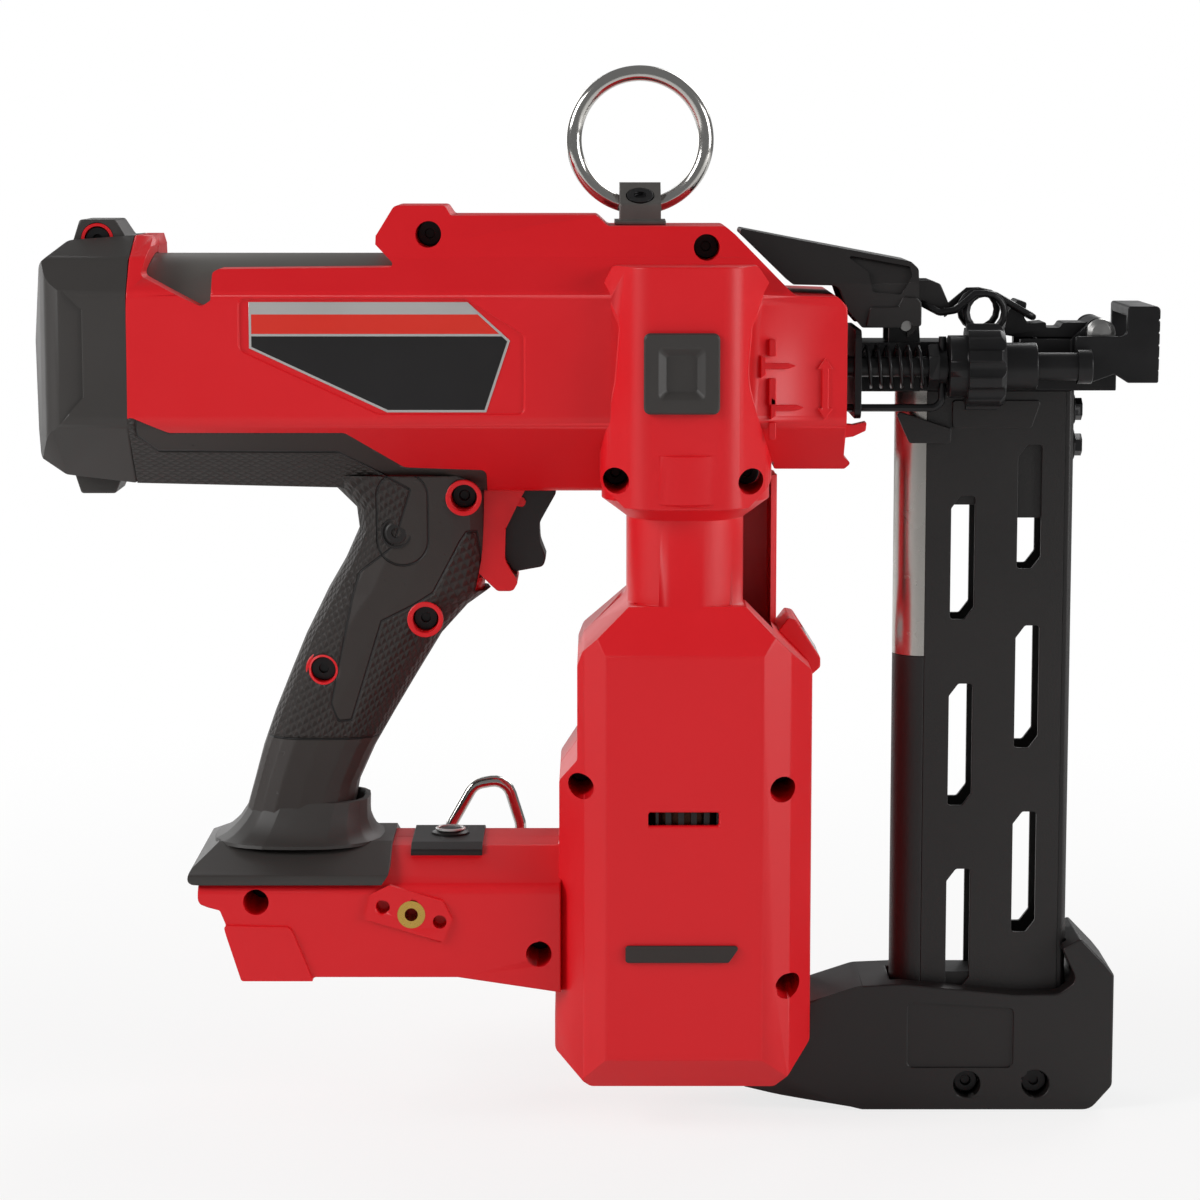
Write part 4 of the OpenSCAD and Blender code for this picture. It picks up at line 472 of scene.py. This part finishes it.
def scaled_copy(name, node, right):
    """A skin with the patterns' measures stored at its points, which are close together."""
    work = merged(node)
    for step in range(7):
        long_edges = [e for e in work.edges if e.calc_length() > longest_edge]
        if not long_edges or len(work.faces) > most_faces:
            break
        bmesh.ops.subdivide_edges(work, edges=long_edges, cuts=1)
        bmesh.ops.triangulate(work, faces=[f for f in work.faces if len(f.verts) > 3])
    layers = {key: work.verts.layers.float.new(key)
              for key in ("along", "across", "border", "plug")}
    axis = (top_axis - foot_axis).normalized()
    for v in work.verts:
        x, y, z = v.co / MM
        if node == "barrel_saddle":
            v[layers["along"]] = -x
            v[layers["across"]] = math.atan2(y, barrel_z - z) * barrel_skin_r
        else:
            out = Vector((x, y, z)) - foot_axis
            v[layers["along"]] = -out.dot(axis)
            front = out - axis * out.dot(axis)
            v[layers["across"]] = math.atan2(front.y, front.x) * handle_skin_r
        border = polygon_distance((x, z), smooth_panel)
        collar = z - collar_seam_z
        v[layers["border"]] = min(border, collar) if border > 0 else border
        if right:
            lean = Vector((x - plug_x, z - plug_z))
            lean.y -= max(-plug_half, min(plug_half, lean.y))
            v[layers["plug"]] = lean.length - plug_r
        else:
            v[layers["plug"]] = 9
    return put_out(work, name, "tool", scaled_elastomer, node, 50)


scaled_copy("right_grip_skin", "right_grip", True)
scaled_copy("left_grip_skin", "left_grip", False)
scaled_copy("barrel_skin", "barrel_saddle", False)
rounded_copy("foot_skin", "grip_boot", "tool", boot_elastomer, 0.8, 35)
rounded_copy("rear_dome", "rear_cap", "tool", boot_elastomer, 0.8, 30)

# The square bumper is a hollow cushion: a flat rim with a sloped well inside.
rim_low, rim_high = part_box("square_pad")
middle = (rim_low + rim_high) / 2 / MM
half_x, half_z = (rim_high.x - rim_low.x) / 2 / MM, (rim_high.z - rim_low.z) / 2 / MM
well = bmesh.new()
rings = []
for shrink, y, corner in ((0, -50, 2), (0, -51.6, 2), (0.5, -52.2, 1.8), (4.2, -52.2, 1.5),
                          (4.8, -51.9, 1.4), (6.8, -50.3, 1.0), (7.2, -50.2, 0.9)):
    ring = []
    for quarter, (sx, sz) in enumerate(((1, 1), (-1, 1), (-1, -1), (1, -1))):
        for part in range(5):
            turn = math.radians(90 * quarter + 22.5 * part)
            x = sx * (half_x - shrink - corner) + corner * math.cos(turn)
            z = sz * (half_z - shrink - corner) + corner * math.sin(turn)
            ring.append(well.verts.new(((middle.x + x) * MM, y * MM, (middle.z + z) * MM)))
    rings.append(ring)
for outer, inner in zip(rings, rings[1:]):
    for n in range(20):
        well.faces.new((outer[n - 1], outer[n], inner[n], inner[n - 1]))
well.faces.new(rings[0])
well.faces.new(rings[-1])
bmesh.ops.recalc_face_normals(well, faces=well.faces)
put_out(well, "square_bumper_pad", "tool", boot_elastomer, "square_pad", 30)

# The neck of the boot flares out of the flange round the foot of the grip.
# Each ring of it is the grip's outline, moved along the grip and outward.
neck_z, neck_points = 92, 72
slope = (top_axis - foot_axis).normalized()
level = [v.co / MM - slope * ((v.co.z / MM - neck_z) / slope.z)
         for half in ("right_grip", "left_grip")
         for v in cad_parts[half].data.vertices if 84 < v.co.z / MM < 104]
heart = sum(level, Vector()) / len(level)


def grip_reach(n):
    """The direction with number n round the neck, and how far the grip reaches that way."""
    way = Vector((math.cos(n * 2 * math.pi / neck_points),
                  math.sin(n * 2 * math.pi / neck_points), 0))
    return way, max((p - heart).dot(way) for p in level)


flare = bmesh.new()
rows = []
for lift, wide in ((-4, 7.6), (-3, 7.4), (-2.4, 6.2), (-1.2, 4.4), (0.5, 2.9), (3, 1.2), (6, 0.1),
                   (9.5, -0.9), (9.7, -2.5), (-4, -2.5)):
    row = []
    for n in range(neck_points):
        way, reach = grip_reach(n)
        grow = (grip_reach(n + 1)[1] - grip_reach(n - 1)[1]) / (4 * math.pi / neck_points)
        here = heart + way * (reach + wide) + Vector((-way.y, way.x, 0)) * grow
        row.append(flare.verts.new((here + slope * ((lift + neck_z - heart.z) / slope.z)) * MM))
    rows.append(row)
for low, high in zip(rows, rows[1:] + rows[:1]):
    for n in range(neck_points):
        flare.faces.new((low[n - 1], low[n], high[n], high[n - 1]))
bmesh.ops.recalc_face_normals(flare, faces=flare.faces)
put_out(flare, "boot_neck", "tool", boot_elastomer, None, 35)
rounded_copy("bar_bumper_pad", "bar_pad", "tool", elastomer, 0.4)


# Black nylon pieces: trigger, latch lever, button and its plate, and the
# shoe of the magazine. The same moulding as the casing in black, so the
# grain shows as a dull sheen.
black_nylon = grained(plain_finish("moulded_black_glass_filled_nylon", "161313", "1e1b1a", 0.46),
                      0.5, 0.016)
for name, node, body, arris in (
        ("trigger_lever", "trigger", "trigger", 0.6), ("latch_handle", "latch_lever", "lever", 0.5),
        ("mode_plate", "button_plate", "tool", 0.3), ("magazine_shoe", "magazine_base", "tool", 0.7)):
    rounded_copy(name, node, body, black_nylon, arris)


# The red nylon stands through the grip as a collar round each screw, and one
# more screw, a black one, sits in the oval plug.
def turned(profile, place, facing, turns=40):
    """A turned piece from a profile of (radius, height) in mm, on an axis that faces a way."""
    work = bmesh.new()
    along = Vector(facing).normalized()
    aside = along.orthogonal().normalized()
    across = along.cross(aside)
    loops = []
    for radius, height in profile:
        loops.append([work.verts.new((Vector(place) + along * height + (
            aside * math.cos(2 * math.pi * n / turns) + across * math.sin(2 * math.pi * n / turns))
            * radius) * MM) for n in range(turns)])
    for low, high in zip(loops, loops[1:] + loops[:1]):
        for n in range(turns):
            work.faces.new((low[n - 1], low[n], high[n], high[n - 1]))
    bmesh.ops.remove_doubles(work, verts=work.verts, dist=0.001 * MM)
    bmesh.ops.recalc_face_normals(work, faces=work.faces)
    return work


skin = BVHTree.FromBMesh(merged("right_grip"))
def near_skin(x, z):
    """Where a line of sight at x and z in mm meets the grip's near side, as y in mm."""
    return skin.ray_cast(Vector((x, -80, z)) * MM, Vector((0, 1, 0)))[0].y / MM


collar_edge = 5.6
for number, (x, z) in enumerate(((-56, 161.5), (-89, 145), (-43.4, 201))):
    put_out(turned(((4.35, -1.5), (4.35, 0.35), (4.6, 0.5), (5.5, 0.5), (5.75, 0.3),
                    (5.75, -1.5)), (x, near_skin(x - collar_edge, z), z), (0, -1, 0)),
            "screw_collar_%d" % number, "tool", red_nylon, None, 35)
x, z = -65, 189.6
put_out(turned(((0.01, -1), (0.01, -0.6), (1.4, -0.6), (1.6, 0.35), (3.1, 0.35), (3.6, 0),
                (3.7, -0.5), (4.1, -0.5), (4.3, 0.25), (4.9, 0.25), (5.1, -0.6), (5.1, -1)),
               (x, near_skin(x, z), z), (0, -1, 0)),
        "plug_screw", "tool", black_nylon, None, 35)


# Sheet steel of the magazine, powder coated: a fine orange-peel texture,
# dead black in the hollows and grey where the light grazes it.
powder_coat = grained(plain_finish("fine_texture_powder_coat_on_steel", "181616", "211e1d", 0.46),
                      0.8, 0.06)
for name, node, body in (("magazine_near_skin", "magazine_cover", "tool"),
                         ("magazine_far_skin", "magazine_rail", "tool"),
                         ("pusher_block", "magazine_pusher", "pusher")):
    rounded_copy(name, node, body, powder_coat, 0.25)


# Black oxide on steel: the nose, its door, the rods and the contact tip are
# machined or bent, then blackened in a hot bath, so a little metal sheen
# stays under a near-black skin.
black_oxide = grained(plain_finish("hot_black_oxide_on_steel", "1a1a1b", "262526", 0.36,
                                   metallic=0.5, patch=12), 0.6, 0.006)
for name, node, body, arris, slot in (
        ("nose_block", "nose_casting", "tool", 0.35, "powder_coat"),
        ("nose_rear_block", "nose_collar", "tool", 0.35, "powder_coat"),
        ("nose_flap", "nose_door", "door", 0.35, "powder_coat"),
        ("contact_rod", "contact_yoke", "contact", 0, "black_oxide"),
        ("contact_nut", "rod_nut", "contact", 0.2, "black_oxide"),
        ("adjuster_wheel", "depth_wheel", "wheel", 0.5, "black_oxide"),
        ("contact_frame", "contact_tip", "tip", 0.4, "black_oxide"),
        ("latch_bail", "latch_wire", "bail", 0, "black_oxide"),
        ("contact_coil", "contact_spring", "contact", 0, "black_oxide"),
        ("casing_screws", "housing_screws", "tool", 0.3, "black_oxide"),
        ("shoe_screws", "magazine_screws", "tool", 0.3, "black_oxide"),
        ("strap_screw", "ring_screw", "tool", 0.2, "black_oxide")):
    rounded_copy(name, node, body, black_oxide, arris)


# Bright metal. The carrying ring is a sprung gate ring, nickel plated over
# polished steel, and the belt hook is bent from chromed wire.
bright_nickel = grained(plain_finish("bright_nickel_plate", "c4c2be", "d0ceca", 0.13,
                                     metallic=1.0, patch=15), 3, 0.01)
rounded_copy("hanging_ring", "carry_ring", "ring", bright_nickel, 0)
rounded_copy("belt_hook", "wire_hook", "tool", bright_nickel, 0)
cast_grey = grained(plain_finish("zinc_casting_with_grey_lacquer", "5b5855", "696663", 0.42,
                                 metallic=0.45, patch=8), 0.5, 0.02)
rounded_copy("ring_strap", "ring_bracket", "tool", cast_grey, 0.5)


# The mode button has a lacquered ring on top.
silver_lacquer = grained(plain_finish("silver_lacquer_on_button", "d8d8d6", "e2e2e0", 0.3,
                                      metallic=0.3), 0.4, 0.004)
button_low, button_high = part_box("mode_button")
button_top = (button_low.lerp(button_high, 0.5) / MM).xy.to_3d() + Vector(
    (0, 0, button_high.z / MM))
put_out(turned(((3.9, -0.3), (3.9, 0.1), (4.1, 0.3), (4.7, 0.3), (4.9, 0.1), (4.9, -0.3)),
               button_top, (0, 0, 1)), "button_ring", "button", silver_lacquer, None, 35)


# Everything else keeps its CAD shape and takes its own metal or plastic.
brass = grained(plain_finish("turned_brass", "c9a24a", "d8b564", 0.28, metallic=1.0,
                             patch=6), 0.3, 0.01)
steel = grained(plain_finish("ground_tool_steel", "a9a8a6", "b8b7b5", 0.3, metallic=1.0,
                             patch=10), 0.2, 0.006)
stainless = grained(plain_finish("rolled_stainless_strip", "b7b3ae", "c6c2bd", 0.26,
                                 metallic=1.0, patch=20), 0.4, 0.004)
anodised = grained(plain_finish("grey_anodised_aluminium", "6a6864", "76746f", 0.42,
                                metallic=0.5, patch=25), 0.3, 0.006)
# The windings are enamelled copper, coloured near-black brown as painted shade for the dark vent slot
# they show through.
copper = grained(plain_finish("enamelled_copper_windings_with_painted_shade", "2e160b", "3d1f10", 0.35,
                              metallic=0.8, patch=5), 0.8, 0.08)
rubber = grained(plain_finish("nitrile_rubber", "1a1a1a", "202020", 0.7), 0.4, 0.02)
lens_clear = grained(plain_finish("clear_polycarbonate", "f2f6f6", "eef3f3", 0.12,
                                  **{"Transmission Weight": 0.6, "IOR": 1.58}), 4, 0.005)
for finish, slot, names in (
        (brass, "brass", "mount_inserts"),
        (steel, "bare_steel", "driver_blade lifter_wheel lifter_rollers planet_carrier "
         "planet_gear_1 planet_gear_2 planet_gear_3 ball_bearings drive_cylinder gear_case "
         "motor_rotor pusher_spring hook_screw hinge_pins"),
        (stainless, "bare_steel", "crown_guide"),
        (anodised, "aluminium", "air_sleeve piston"),
        (copper, "copper", "motor_stator"),
        (rubber, "seal_rubber", "bumper piston_seal"),
        (black_nylon, "black_plastic", "motor_fan trigger_switch battery_terminals "
         "electronics_module vent_screen mode_button"),
        (lens_clear, "clear_lens", "light_lens")):
    for node in names.split():
        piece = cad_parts[node]
        for place in range(len(piece.data.materials)):
            piece.material_slots[place].material = finish
        if not piece.data.materials:
            piece.data.materials.append(finish)
